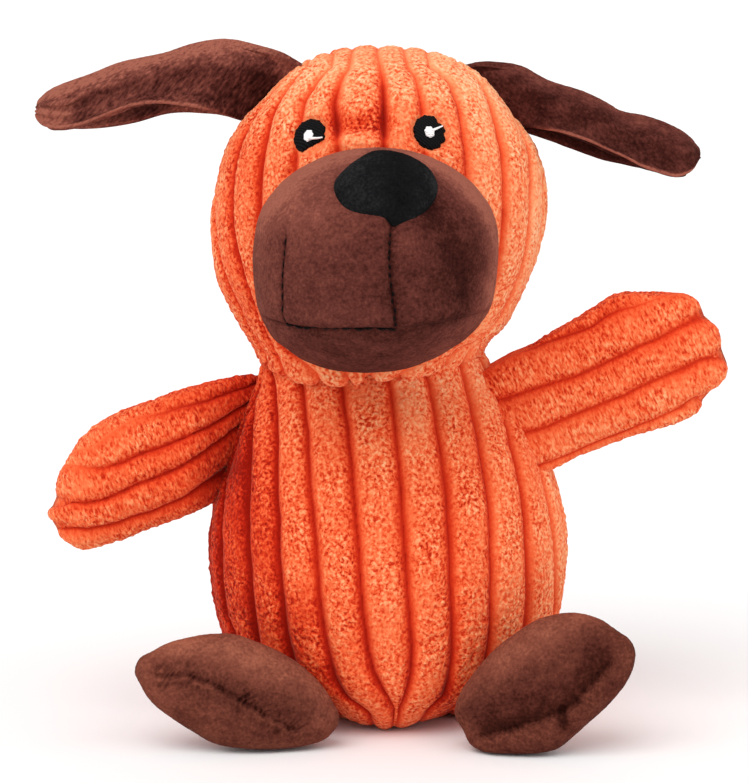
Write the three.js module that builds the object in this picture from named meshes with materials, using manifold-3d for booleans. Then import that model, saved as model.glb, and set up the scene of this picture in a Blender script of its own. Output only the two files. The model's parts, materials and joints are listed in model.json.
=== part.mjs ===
// Squeaky plush dog, sitting: corduroy body and head over fibre filling, a
// squeaker in the belly, and a short-pile muzzle, ears and feet.
// Millimetres, +Z up, the face looks along -Y, the seat rests on z = 0.
// "left" is the viewer's left (-X) when looking at the face.
import * as THREE from "three";
import { mergeVertices } from "three/addons/utils/BufferGeometryUtils.js";
import Module from "manifold-3d";

const wasm = await Module();
wasm.setup();

// ------------------------------------------------------------ driving sizes
const GAP = 0.35; // clearance kept between neighbouring pieces
const SKIN = 3.0; // corduroy with its pile
const PLUSH = 2.0; // short-pile fabric of muzzle and feet
const EAR_PLY = 1.4; // one fabric ply of an ear

const BODY_DEPTH = 0.86; // front-to-back over side-to-side
const BODY_PROFILE = [
  [0, 0], [28, 0], [38, 5], [44.6, 15], [49, 31], [50.7, 48],
  [47.4, 67], [40.8, 82], [33, 95], [27, 105], [0, 109],
]; // half-width against height
const BASE_RADIUS = 26.2;

const HEAD_X = -2.7; // the head leans a little to the viewer's left
const HEAD_DEPTH = 0.93;
const HEAD_PROFILE = [
  [0, 87], [25, 91], [32, 102.6], [39.4, 114], [44.8, 128],
  [46.6, 141], [45.2, 154], [40.6, 166], [32.5, 178], [19, 185.8], [0, 188.5],
];

const NECK = new THREE.Vector3(-1.5, 0, 98); // centre of turning and nodding
const NECK_BALL = 17;
const NECK_WEDGE = THREE.MathUtils.degToRad(6.5); // half opening between head and body

const MUZZLE_C = new THREE.Vector3(-3.4, -46, 133.5);
const MUZZLE_R = new THREE.Vector3(32.3, 31, 29.6);
const MOUTH_Z = 118.5; // height of the mouth seam
const NOSE_TILT = THREE.MathUtils.degToRad(46); // nose direction above straight ahead
const NOSE_X = -0.8;
const NOSE_R = new THREE.Vector3(14, 13.8, 5.6);

const EYES = { left: [-21.7, 166], right: [11.5, 167] }; // x, z of each eye
const EYE_R = new THREE.Vector3(4.4, 4.8, 1.8);

const SQUEAKER_Z = 48; // squeaker axis runs front to back at this height
const SQUEAKER_REAR = 10; // y of the rear face
const SQUEEZE = 8; // travel of the front dome

// each ear: flap axis and ridge (top fold) as x, z; drop of the two flaps
// below the ridge; half-gap of the fold
const EAR_ROOT = 8.8; // radius of the rounded root about the flap axis
const EARS = {
  left: {
    pivot: [-47.6, 178],
    ridge: [[-47.6, 190.2], [-57.8, 188.3], [-70.3, 185.2], [-81.4, 181.2], [-91.1, 176.8], [-97.2, 171.5]],
    front: [18.5, 16, 13, 12.6, 11, 4.5],
    rear: [20.5, 18.6, 18, 16.2, 11.5, 5.5],
    fold: [5.6, 6, 6, 5.8, 5.2, 4.2],
  },
  right: {
    pivot: [44.6, 173],
    ridge: [[44.6, 179.4], [53, 176.2], [62, 172], [71.4, 169.2], [79.4, 166.1], [86.4, 160.5]],
    front: [14, 13.2, 12.4, 14, 13.4, 5.5],
    rear: [16, 16.4, 16, 15, 12.4, 6],
    fold: [5.6, 6, 6, 5.8, 5.2, 4.2],
  },
};

// swing centre, direction out along the arm, half-width against distance
const ARMS = {
  left: {
    pivot: new THREE.Vector3(-57.6, -7, 73.4),
    dir: new THREE.Vector3(-0.908, 0, -0.419),
    profile: [[0, -11.2], [6.4, -9.2], [10.1, -4.9], [13, 4], [16.4, 15], [17, 24], [15, 32.5], [9.6, 38.4], [0, 40.6]],
    thick: 0.58,
  },
  right: {
    pivot: new THREE.Vector3(49.6, -4, 88.6),
    dir: new THREE.Vector3(0.9365, 0, 0.3506),
    profile: [[0, -11.2], [6.4, -9.2], [10.1, -4.9], [14, 5], [18, 16], [18.6, 27], [17.2, 37], [10.5, 43], [0, 44.6]],
    thick: 0.5,
  },
};

// centre (height set by the floor), toe direction, half length, height, thickness
const FEET = {
  left: { x: -40.2, y: -43.5, toe: new THREE.Vector3(-0.964, -0.05, 0.266), r: new THREE.Vector3(28.6, 14.6, 8.6), tilt: 16 },
  right: { x: 42, y: -44.5, toe: new THREE.Vector3(0.869, -0.05, 0.495), r: new THREE.Vector3(27, 15, 8.6), tilt: 18 },
};

// --------------------------------------------------------------- toolbox
function volumeOf(g) {
  const p = g.attributes.position, ix = g.index.array;
  const a = new THREE.Vector3(), b = new THREE.Vector3(), c = new THREE.Vector3();
  let v = 0;
  for (let i = 0; i < ix.length; i += 3) {
    a.fromBufferAttribute(p, ix[i]);
    b.fromBufferAttribute(p, ix[i + 1]);
    c.fromBufferAttribute(p, ix[i + 2]);
    v += a.dot(b.cross(c)) / 6;
  }
  return v;
}

// positions only, shared corners joined, faces outward
function weld(geometry) {
  const g = geometry.clone();
  for (const name of Object.keys(g.attributes)) if (name !== "position") g.deleteAttribute(name);
  const m = mergeVertices(g, 1e-4);
  const ix = m.index.array, keep = [];
  for (let i = 0; i < ix.length; i += 3) {
    const [a, b, c] = [ix[i], ix[i + 1], ix[i + 2]];
    if (a !== b && b !== c && c !== a) keep.push(a, b, c);
  }
  m.setIndex(keep);
  if (volumeOf(m) < 0) {
    for (let i = 0; i < keep.length; i += 3) [keep[i + 1], keep[i + 2]] = [keep[i + 2], keep[i + 1]];
    m.setIndex(keep);
  }
  m.computeVertexNormals();
  return m;
}

// the same closed shape grown (+) or shrunk (-) along its surface normals
function grow(geometry, d) {
  const m = weld(geometry);
  const p = m.attributes.position, n = m.attributes.normal;
  for (let i = 0; i < p.count; i++) {
    p.setXYZ(i, p.getX(i) + d * n.getX(i), p.getY(i) + d * n.getY(i), p.getZ(i) + d * n.getZ(i));
  }
  return weld(m);
}

function solid(geometry) {
  const m = weld(geometry);
  return new wasm.Manifold(new wasm.Mesh({
    numProp: 3,
    vertProperties: new Float32Array(m.attributes.position.array),
    triVerts: new Uint32Array(m.index.array),
  }));
}

function geometryOf(manifold) {
  const mesh = manifold.getMesh();
  const g = new THREE.BufferGeometry();
  const n = mesh.numProp, count = mesh.vertProperties.length / n;
  const pos = new Float32Array(count * 3);
  for (let i = 0; i < count; i++) for (let k = 0; k < 3; k++) pos[i * 3 + k] = mesh.vertProperties[i * n + k];
  g.setAttribute("position", new THREE.BufferAttribute(pos, 3));
  g.setIndex(Array.from(mesh.triVerts));
  g.computeVertexNormals();
  return g;
}

const lathe = (profile, segments, depth = 1) =>
  new THREE.LatheGeometry(profile.map(([r, z]) => new THREE.Vector2(r, z)), segments)
    .rotateX(Math.PI / 2).scale(1, depth, 1);

const block = (x0, x1, y0, y1, z0, z1) =>
  new THREE.BoxGeometry(x1 - x0, y1 - y0, z1 - z0).translate((x0 + x1) / 2, (y0 + y1) / 2, (z0 + z1) / 2);

const BIG = 300;
const ahead = () => solid(block(-BIG, BIG, -BIG, -GAP / 2, -BIG, BIG));
const backLeft = (x) => solid(block(-BIG, x - GAP / 2, GAP / 2, BIG, -BIG, BIG));
const backRight = (x) => solid(block(x + GAP / 2, BIG, GAP / 2, BIG, -BIG, BIG));

// frame with the given axes as columns
function frameOf(x, y, z, o) {
  return new THREE.Matrix4().makeBasis(x, y, z).setPosition(o);
}

// round thread following a run of points
function thread(points, radius, steps) {
  const path = new THREE.CatmullRomCurve3(points, false, "centripetal");
  const round = new THREE.Shape();
  for (let i = 0; i < 5; i++) {
    const a = (i / 5) * Math.PI * 2;
    if (i === 0) round.moveTo(radius * Math.cos(a), radius * Math.sin(a));
    else round.lineTo(radius * Math.cos(a), radius * Math.sin(a));
  }
  round.closePath();
  return new THREE.ExtrudeGeometry(round, { steps, extrudePath: path, bevelEnabled: false });
}

const group = new THREE.Group();
group.name = "squeaky_dog";
function add(name, shape, color, roughness, metalness = 0) {
  const g = shape instanceof THREE.BufferGeometry ? weld(shape) : geometryOf(shape);
  const mesh = new THREE.Mesh(g, new THREE.MeshStandardMaterial({ color, roughness, metalness }));
  mesh.name = name;
  group.add(mesh);
}

const ORANGE = 0xe0662f, BROWN = 0x6b3b30, DARK = 0x4a2720, BLACK = 0x17131a;
const FIBRE = 0xf2efe8, THREAD = 0xb4471f, BROWN_THREAD = 0x3a1f1a, WHITE = 0xf5f3ee;

// ------------------------------------------------------- neck clearance
const wedge = solid(lathe([
  [0, -0.4], [90, -0.4 - 90 * Math.tan(NECK_WEDGE)], [90, 0.4 + 90 * Math.tan(NECK_WEDGE)], [0, 0.4],
], 24).translate(NECK.x, NECK.y, NECK.z));
const neckSocket = solid(new THREE.SphereGeometry(NECK_BALL + 1, 12, 8).translate(NECK.x, NECK.y, NECK.z));
const below = solid(block(-BIG, BIG, -BIG, BIG, -BIG, NECK.z));
const above = solid(block(-BIG, BIG, -BIG, BIG, NECK.z, BIG));

// ------------------------------------------------------------------ body
const bodyShape = lathe(BODY_PROFILE, 20, BODY_DEPTH);
const baseHole = solid(new THREE.CylinderGeometry(BASE_RADIUS + GAP, BASE_RADIUS + GAP, 12, 24)
  .rotateX(Math.PI / 2).scale(1, BODY_DEPTH, 1));
const bodySkin = solid(bodyShape).subtract(solid(grow(bodyShape, -SKIN)))
  .subtract(wedge).intersect(below).subtract(baseHole);
add("body_front_panel", bodySkin.intersect(ahead()), ORANGE, 0.95);
add("body_back_left_panel", bodySkin.intersect(backLeft(0)), ORANGE, 0.95);
add("body_back_right_panel", bodySkin.intersect(backRight(0)), ORANGE, 0.95);

// flat seat panel; the hub of its lower face is set aside from the centre
const base = new THREE.CylinderGeometry(BASE_RADIUS, BASE_RADIUS, SKIN, 24)
  .rotateX(Math.PI / 2).translate(0, 0, SKIN / 2).scale(1, BODY_DEPTH, 1);
{
  const p = base.attributes.position;
  for (let i = 0; i < p.count; i++) if (Math.hypot(p.getX(i), p.getY(i)) < 0.01) p.setXY(i, 7, 5);
}
add("body_base_panel", base, ORANGE, 0.95);

const alongY = (geometry) => geometry.rotateX(Math.PI / 2); // lathe axis +Z to -Y (front)
const squeakerAt = (profile, segments) =>
  alongY(lathe(profile, segments)).translate(0, SQUEAKER_REAR, SQUEAKER_Z);
const POCKET = 24.6;
const pocket = solid(squeakerAt([[0, -0.5], [POCKET, -0.5], [POCKET, 70], [0, 70]], 16))
  .add(solid(squeakerAt([[0, -9.8], [6, -9.8], [6, 1], [0, 1]], 10)));
const bodyInner = solid(grow(bodyShape, -(SKIN + GAP)));
add("body_filling", bodyInner.subtract(pocket).subtract(neckSocket).subtract(wedge).intersect(below), FIBRE, 1);

// squeaker: rear cup, sliding front dome, reed holder and reed
add("squeaker_rear_cup", squeakerAt([
  [5.6, 0], [17, 0], [19.6, 2.6], [19.6, 13], [18.2, 13], [18.2, 3.2], [16.4, 1.4], [5.6, 1.4], [5.6, 0],
], 16), 0xe8e6df, 0.4);
add("squeaker_front_dome", squeakerAt([
  [0, 26.6], [11, 25.6], [17.5, 23.6], [20.1, 21.6], [20.1, 9], [21.5, 9], [21.5, 22.2], [18.4, 25], [11.6, 27.1], [0, 28],
], 16), 0xe8e6df, 0.4);
add("squeaker_reed_holder", squeakerAt([
  [3.4, -9], [5.2, -9], [5.2, 1.75], [8, 1.75], [8, 3.2], [3.4, 3.2], [3.4, -9],
], 10), 0xd9d4c6, 0.45);
add("squeaker_reed", block(-2.3, 2.3, SQUEAKER_REAR - 2, SQUEAKER_REAR + 8, SQUEAKER_Z - 0.25, SQUEAKER_Z + 0.25), 0xc9c2b0, 0.5);
const plugCore = solid(squeakerAt([[0, 28.4], [POCKET - 0.7, 28.4], [POCKET - 0.7, 70], [0, 70]], 16));
add("belly_filling_plug", bodyInner.intersect(plugCore), FIBRE, 1);

// neck wad and the gathering thread that ties the neck
add("neck_filling", new THREE.SphereGeometry(NECK_BALL, 12, 8).translate(NECK.x, NECK.y, NECK.z), FIBRE, 1);
add("neck_gather_thread", new THREE.TorusGeometry(24.5, 0.55, 5, 20)
  .translate(NECK.x, NECK.y, NECK.z - 0.4 - 24 * Math.tan(NECK_WEDGE) + 0.3 + 0.55), THREAD, 0.7);

// hand-closed centre back seam
{
  const pts = [];
  for (let i = 0; i <= 9; i++) {
    const z = 30 + i * 4;
    const r = 0.86 * (50.6 - 0.0042 * (z - 46) ** 2);
    pts.push(new THREE.Vector3(i % 2 ? 1.4 : -1.4, r + 1.35, z));
  }
  add("back_closing_stitches", thread(pts, 0.5, 18), THREAD, 0.7);
}

// ------------------------------------------------------------------ head
const headShape = lathe(HEAD_PROFILE, 20, HEAD_DEPTH).translate(HEAD_X, 0, 0);
const headSkin = solid(headShape).subtract(solid(grow(headShape, -SKIN))).subtract(wedge).intersect(above);
add("head_front_panel", headSkin.intersect(ahead()), ORANGE, 0.95);
add("head_back_left_panel", headSkin.intersect(backLeft(HEAD_X)), ORANGE, 0.95);
add("head_back_right_panel", headSkin.intersect(backRight(HEAD_X)), ORANGE, 0.95);
add("head_filling", solid(grow(headShape, -(SKIN + GAP))).subtract(neckSocket).subtract(wedge).intersect(above), FIBRE, 1);

const headClear = solid(grow(headShape, GAP));
const muzzleShape = new THREE.SphereGeometry(1, 16, 10).rotateX(Math.PI / 2)
  .scale(MUZZLE_R.x, MUZZLE_R.y, MUZZLE_R.z).translate(MUZZLE_C.x, MUZZLE_C.y, MUZZLE_C.z);
const muzzleSkin = solid(muzzleShape).subtract(solid(grow(muzzleShape, -PLUSH))).subtract(headClear);
const upper = (x0, x1) => solid(block(x0, x1, -BIG, 0, MOUTH_Z + GAP / 2, BIG));
add("muzzle_left_panel", muzzleSkin.intersect(upper(-BIG, MUZZLE_C.x - GAP / 2)), BROWN, 0.95);
add("muzzle_right_panel", muzzleSkin.intersect(upper(MUZZLE_C.x + GAP / 2, BIG)), BROWN, 0.95);
add("muzzle_chin_panel", muzzleSkin.intersect(solid(block(-BIG, BIG, -BIG, 0, -BIG, MOUTH_Z - GAP / 2))), BROWN, 0.95);
add("muzzle_filling", solid(grow(muzzleShape, -(PLUSH + GAP))).subtract(headClear), FIBRE, 1);

// a point on the muzzle at azimuth a (from straight ahead, + to viewer's right)
// and height z, lifted off the surface
function onMuzzle(x, z, lift) {
  const dx = (x - MUZZLE_C.x) / MUZZLE_R.x, dz = (z - MUZZLE_C.z) / MUZZLE_R.z;
  const dy = -Math.sqrt(Math.max(0.02, 1 - dx * dx - dz * dz));
  const p = new THREE.Vector3(x, MUZZLE_C.y + dy * MUZZLE_R.y, z);
  const n = new THREE.Vector3(dx / MUZZLE_R.x, dy / MUZZLE_R.y, dz / MUZZLE_R.z).normalize();
  return p.addScaledVector(n, lift);
}
const muzzleClear = solid(grow(muzzleShape, GAP));
const noseN = new THREE.Vector3(0, -Math.cos(NOSE_TILT), Math.sin(NOSE_TILT));
const noseFrame = (() => {
  const t = new THREE.Vector3(0, Math.sin(NOSE_TILT), Math.cos(NOSE_TILT));
  const o = new THREE.Vector3(NOSE_X, MUZZLE_C.y - MUZZLE_R.y * Math.cos(NOSE_TILT), MUZZLE_C.z + MUZZLE_R.z * Math.sin(NOSE_TILT));
  return frameOf(new THREE.Vector3(1, 0, 0), t, noseN, o);
})();
const noseShape = new THREE.SphereGeometry(1, 12, 6).rotateX(Math.PI / 2).scale(NOSE_R.x, NOSE_R.y, NOSE_R.z).applyMatrix4(noseFrame);
add("nose_cover", solid(noseShape).subtract(solid(grow(noseShape, -1.3))).subtract(muzzleClear), BLACK, 0.9);
add("nose_filling", solid(grow(noseShape, -1.65)).subtract(muzzleClear), FIBRE, 1);

// embroidered eyes with a white highlight
const headRadius = new THREE.SplineCurve(HEAD_PROFILE.map(([r, z]) => new THREE.Vector2(z, r)));
function headHalfWidth(z) {
  for (let i = 1; i < HEAD_PROFILE.length; i++) {
    const [r0, z0] = HEAD_PROFILE[i - 1], [r1, z1] = HEAD_PROFILE[i];
    if (z <= z1) return r0 + ((r1 - r0) * (z - z0)) / (z1 - z0);
  }
  return headRadius.getPoint(1).y;
}
function headFront(x, z) {
  const r = headHalfWidth(z);
  return -HEAD_DEPTH * Math.sqrt(Math.max(1, r * r - (x - HEAD_X) ** 2));
}
for (const side of ["left", "right"]) {
  const [x, z] = EYES[side];
  const o = new THREE.Vector3(x, headFront(x, z), z);
  const tx = new THREE.Vector3(2, headFront(x + 1, z) - headFront(x - 1, z), 0).normalize();
  const tz = new THREE.Vector3(0, headFront(x, z + 1) - headFront(x, z - 1), 2).normalize();
  const n = new THREE.Vector3().crossVectors(tx, tz).normalize();
  const ty = new THREE.Vector3().crossVectors(n, tx).normalize();
  const m = frameOf(tx, ty, n, o);
  const eye = new THREE.SphereGeometry(1, 12, 6).rotateX(Math.PI / 2).scale(EYE_R.x, EYE_R.y, EYE_R.z).applyMatrix4(m);
  add(`eye_${side}_embroidery`, solid(eye).subtract(headClear), BLACK, 0.6);
  const glint = new THREE.SphereGeometry(1, 8, 6).rotateX(Math.PI / 2).scale(1.4, 1.4, 1.1)
    .translate(0.2, 0, EYE_R.z).applyMatrix4(m);
  add(`eye_${side}_highlight`, solid(glint).subtract(solid(grow(eye, GAP))), WHITE, 0.6);
}

// muzzle stitching: mouth seam, centre seam below the nose, one cheek tuck
{
  const mouth = [];
  for (let i = 0; i <= 10; i++) {
    const t = i / 5 - 1;
    mouth.push(onMuzzle(MUZZLE_C.x + t * 24.6, MOUTH_Z + 1.8 * t * t, 1.0));
  }
  add("muzzle_mouth_stitching", thread(mouth, 0.5, 12), BROWN_THREAD, 0.8);
  const centre = [];
  for (let i = 0; i <= 5; i++) centre.push(onMuzzle(MUZZLE_C.x + 2.2, MOUTH_Z + 2.6 + i * 4.4, 1.0));
  add("muzzle_centre_stitching", thread(centre, 0.5, 8), BROWN_THREAD, 0.8);
  const tuck = [];
  for (let i = 0; i <= 5; i++) tuck.push(onMuzzle(MUZZLE_C.x - 23.4, MOUTH_Z + 4 + i * 4, 1.0));
  add("muzzle_side_stitching", thread(tuck, 0.5, 8), BROWN_THREAD, 0.8);
}

// ------------------------------------------------------------------ ears
// each ply is a folded leaf: s along the ridge, q across (-1 rear edge,
// 0 ridge, +1 front edge), w through the ply
function earPly(ear, depth0, depth1) {
  const g = new THREE.BoxGeometry(1, 1, 1, 7, 8, 1);
  const ridge = new THREE.SplineCurve(ear.ridge.map(([x, z]) => new THREE.Vector2(x, z)));
  const along = (list, s) => {
    const f = s * (list.length - 1), i = Math.min(list.length - 2, Math.floor(f));
    return list[i] + (list[i + 1] - list[i]) * (f - i);
  };
  const p = g.attributes.position;
  for (let i = 0; i < p.count; i++) {
    const s = p.getX(i) + 0.5, q = 2 * p.getY(i), w = p.getZ(i) + 0.5;
    const o = ridge.getPoint(s);
    const d = depth0 + (depth1 - depth0) * w;
    const fold = along(ear.fold, s), r = fold - d;
    const drop = q > 0 ? along(ear.front, s) : along(ear.rear, s);
    const k = Math.abs(q) * 2; // first half is the bend, the rest hangs down
    let y, z;
    if (k <= 1) {
      y = r * Math.sin((k * Math.PI) / 2);
      z = -fold + r * Math.cos((k * Math.PI) / 2);
    } else {
      y = r;
      z = -fold - (k - 1) * Math.max(1, drop - fold);
    }
    const dz = o.y + z - ear.pivot[1];
    const root = Math.sqrt(Math.max(0, EAR_ROOT ** 2 - dz * dz)) * Math.max(0, 1 - 3.5 * s);
    p.setXYZ(i, o.x - Math.sign(o.x) * root, q > 0 ? -y : y, o.y + z);
  }
  return g;
}
for (const side of ["left", "right"]) {
  add(`ear_${side}_outer_panel`, earPly(EARS[side], 0, EAR_PLY), side === "left" ? BROWN : DARK, 0.95);
  add(`ear_${side}_inner_panel`, earPly(EARS[side], EAR_PLY + GAP, 2 * EAR_PLY + GAP), DARK, 0.95);
}

// ------------------------------------------------------------------ arms
for (const side of ["left", "right"]) {
  const { pivot, dir, profile, thick } = ARMS[side];
  const e3 = dir.clone().normalize(), e2 = new THREE.Vector3(0, 1, 0);
  const e1 = new THREE.Vector3().crossVectors(e2, e3);
  const shape = lathe(profile, 12, thick).applyMatrix4(frameOf(e1, e2, e3, pivot));
  const skin = solid(shape).subtract(solid(grow(shape, -SKIN)));
  const cut = (y0, y1) => solid(block(-BIG, BIG, y0, y1, -BIG, BIG));
  add(`arm_${side}_front_panel`, skin.intersect(cut(-BIG, pivot.y - GAP / 2)), ORANGE, 0.95);
  add(`arm_${side}_back_panel`, skin.intersect(cut(pivot.y + GAP / 2, BIG)), ORANGE, 0.95);
  add(`arm_${side}_filling`, grow(shape, -(SKIN + GAP)), FIBRE, 1);
}

// ------------------------------------------------------------------ feet
for (const side of ["left", "right"]) {
  const { x, y, toe, r, tilt } = FEET[side];
  const t = THREE.MathUtils.degToRad(tilt);
  const u = toe.clone().normalize();
  const n0 = new THREE.Vector3(0, -Math.cos(t), Math.sin(t));
  const n = n0.clone().addScaledVector(u, -n0.dot(u)).normalize(); // sole direction
  const v = new THREE.Vector3().crossVectors(n, u);
  const turned = new THREE.SphereGeometry(1, 12, 8).rotateZ(Math.PI / 2).scale(r.x, r.y, r.z)
    .applyMatrix4(frameOf(u, v, n, new THREE.Vector3(x, y, 0)));
  turned.computeBoundingBox();
  const lift = -turned.boundingBox.min.z;
  const shape = turned.translate(0, 0, lift);
  const skin = solid(shape).subtract(solid(grow(shape, -PLUSH)));
  const slab = (z0, z1) => solid(block(-BIG, BIG, -BIG, BIG, z0, z1)
    .applyMatrix4(frameOf(u, v, n, new THREE.Vector3(x, y, lift))));
  add(`foot_${side}_sole_panel`, skin.intersect(slab(GAP / 2, BIG)), BROWN, 0.95);
  add(`foot_${side}_upper_panel`, skin.intersect(slab(-BIG, -GAP / 2)), BROWN, 0.95);
  add(`foot_${side}_filling`, grow(shape, -(PLUSH + GAP)), FIBRE, 1);
}

export default group;
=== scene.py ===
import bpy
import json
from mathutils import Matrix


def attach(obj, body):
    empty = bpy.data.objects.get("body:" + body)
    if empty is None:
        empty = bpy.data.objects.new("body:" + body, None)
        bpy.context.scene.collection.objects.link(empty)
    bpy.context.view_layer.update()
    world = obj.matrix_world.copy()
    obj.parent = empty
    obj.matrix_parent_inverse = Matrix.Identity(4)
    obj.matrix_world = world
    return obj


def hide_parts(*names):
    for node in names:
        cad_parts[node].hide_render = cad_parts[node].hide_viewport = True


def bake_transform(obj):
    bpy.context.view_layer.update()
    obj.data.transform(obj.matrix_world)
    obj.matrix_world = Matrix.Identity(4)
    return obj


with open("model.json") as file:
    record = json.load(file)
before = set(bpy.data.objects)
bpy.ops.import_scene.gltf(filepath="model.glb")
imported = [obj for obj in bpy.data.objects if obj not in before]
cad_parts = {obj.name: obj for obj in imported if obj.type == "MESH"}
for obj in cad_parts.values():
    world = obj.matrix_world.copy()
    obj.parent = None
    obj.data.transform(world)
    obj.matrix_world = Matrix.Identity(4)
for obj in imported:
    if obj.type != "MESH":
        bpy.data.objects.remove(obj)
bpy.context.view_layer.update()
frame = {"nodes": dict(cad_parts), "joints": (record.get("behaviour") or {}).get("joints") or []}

import json
import math

import bpy
import numpy as np

MM = 0.001
DEG = math.pi / 180.0

# ------------------------------------------------------------------ camera
# the photograph's viewing angle: straight on, a little from above, long lens
EL = 8.0 * DEG
TARGET = np.array([-3.9, 0.0, 91.5])
DIST = 950.0
FOCAL_PX = 3393.0
cam_data = bpy.data.cameras.new("camera")
cam = bpy.data.objects.new("camera", cam_data)
bpy.context.scene.collection.objects.link(cam)
cam_data.sensor_fit = "VERTICAL"
cam_data.sensor_height = 36.0
cam_data.lens = FOCAL_PX * 36.0 / 783.0
cam_data.clip_start, cam_data.clip_end = 0.05, 300.0
FWD = np.array([0.0, math.cos(EL), -math.sin(EL)])
UP = np.array([0.0, math.sin(EL), math.cos(EL)])
cam.location = tuple((TARGET - FWD * DIST) * MM)
cam.rotation_euler = (math.pi / 2 - EL, 0.0, 0.0)
bpy.context.scene.camera = cam


def at_px(u, v, y):
    """x, z in mm of the point in the plane at depth y that the frame's pixel u, v shows."""
    u, v, y = np.broadcast_arrays(np.asarray(u, float), np.asarray(v, float), np.asarray(y, float))
    eye = TARGET - FWD * DIST
    d = np.stack([(u - 374.0) / FOCAL_PX, np.zeros_like(u), np.zeros_like(u)], -1)
    d = d + FWD + ((391.5 - v) / FOCAL_PX)[..., None] * UP
    t = (y - eye[1]) / d[..., 1]
    p = eye + d * t[..., None]
    return p[..., 0], p[..., 2]


# ------------------------------------------------------------- number tools
def pchip(xs, ys):
    """smooth curve through the points, without overshoot"""
    xs, ys = np.asarray(xs, float), np.asarray(ys, float)
    h = np.diff(xs)
    d = np.diff(ys) / h
    m = np.zeros_like(ys)
    m[0], m[-1] = d[0], d[-1]
    for k in range(1, len(xs) - 1):
        if d[k - 1] * d[k] > 0:
            w1, w2 = 2 * h[k] + h[k - 1], h[k] + 2 * h[k - 1]
            m[k] = (w1 + w2) / (w1 / d[k - 1] + w2 / d[k])

    def f(x):
        x = np.clip(np.asarray(x, float), xs[0], xs[-1])
        i = np.clip(np.searchsorted(xs, x, "right") - 1, 0, len(h) - 1)
        t = (x - xs[i]) / h[i]
        t2, t3 = t * t, t * t * t
        return ((2 * t3 - 3 * t2 + 1) * ys[i] + (t3 - 2 * t2 + t) * h[i] * m[i]
                + (-2 * t3 + 3 * t2) * ys[i + 1] + (t3 - t2) * h[i] * m[i + 1])

    return f


def curve(points):
    """smooth curve through points (n, d) as a function of its share of length, 0 to 1"""
    p = np.asarray(points, float)
    n = len(p)
    e = np.vstack([2 * p[0] - p[1], p, 2 * p[-1] - p[-2]])
    fine = []
    for i in range(n - 1):
        a, b, c, d = e[i], e[i + 1], e[i + 2], e[i + 3]
        t = np.linspace(0, 1, 24, endpoint=(i == n - 2))[:, None]
        fine.append(0.5 * (2 * b + (c - a) * t + (2 * a - 5 * b + 4 * c - d) * t ** 2 + (3 * b - a - 3 * c + d) * t ** 3))
    fine = np.vstack(fine)
    s = np.r_[0, np.cumsum(np.linalg.norm(np.diff(fine, axis=0), axis=1))]
    s /= s[-1]

    def f(t):
        t = np.asarray(t, float)
        return np.stack([np.interp(t, s, fine[:, k]) for k in range(p.shape[1])], -1)

    return f


def sstep(a, b, x):
    t = np.clip((np.asarray(x, float) - a) / (b - a), 0, 1)
    return t * t * (3 - 2 * t)


def unit(v):
    return v / np.maximum(np.linalg.norm(v, axis=-1, keepdims=True), 1e-12)


class Noise:
    """gradient noise in 3-D, about -1 to 1, same every run"""

    def __init__(self, seed):
        rng = np.random.default_rng(seed)
        p = rng.permutation(256)
        self.p = np.concatenate([p, p, p])
        self.g = unit(rng.normal(size=(256, 3)))

    def __call__(self, q):
        q = np.asarray(q, float)
        i = np.floor(q).astype(np.int64)
        f = q - i
        w = f * f * f * (f * (f * 6 - 15) + 10)
        i &= 255
        out = 0.0
        for dx in (0, 1):
            wx = w[..., 0] if dx else 1 - w[..., 0]
            for dy in (0, 1):
                wy = w[..., 1] if dy else 1 - w[..., 1]
                for dz in (0, 1):
                    wz = w[..., 2] if dz else 1 - w[..., 2]
                    h = self.p[self.p[self.p[i[..., 0] + dx] + i[..., 1] + dy] + i[..., 2] + dz]
                    g = self.g[h]
                    dot = g[..., 0] * (f[..., 0] - dx) + g[..., 1] * (f[..., 1] - dy) + g[..., 2] * (f[..., 2] - dz)
                    out = out + wx * wy * wz * dot
        return out * 1.7


N1, N2, N3, N4 = Noise(11), Noise(23), Noise(37), Noise(51)


def rand1(k, seed):
    """steady random number 0 to 1 for whole numbers k"""
    k = np.asarray(k, float)
    return np.mod(np.abs(np.sin(k * 12.9898 + seed * 78.233) * 43758.5453), 1.0)


def grid_normals(P, centre):
    n = np.cross(np.gradient(P, axis=0), np.gradient(P, axis=1))
    bad = np.linalg.norm(n, axis=-1) < 1e-7
    n = unit(n)
    out = unit(P - centre)
    if np.mean(np.sum(n * out, -1)[~bad]) < 0:
        n = -n
    n[bad] = out[bad]
    return n


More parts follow.
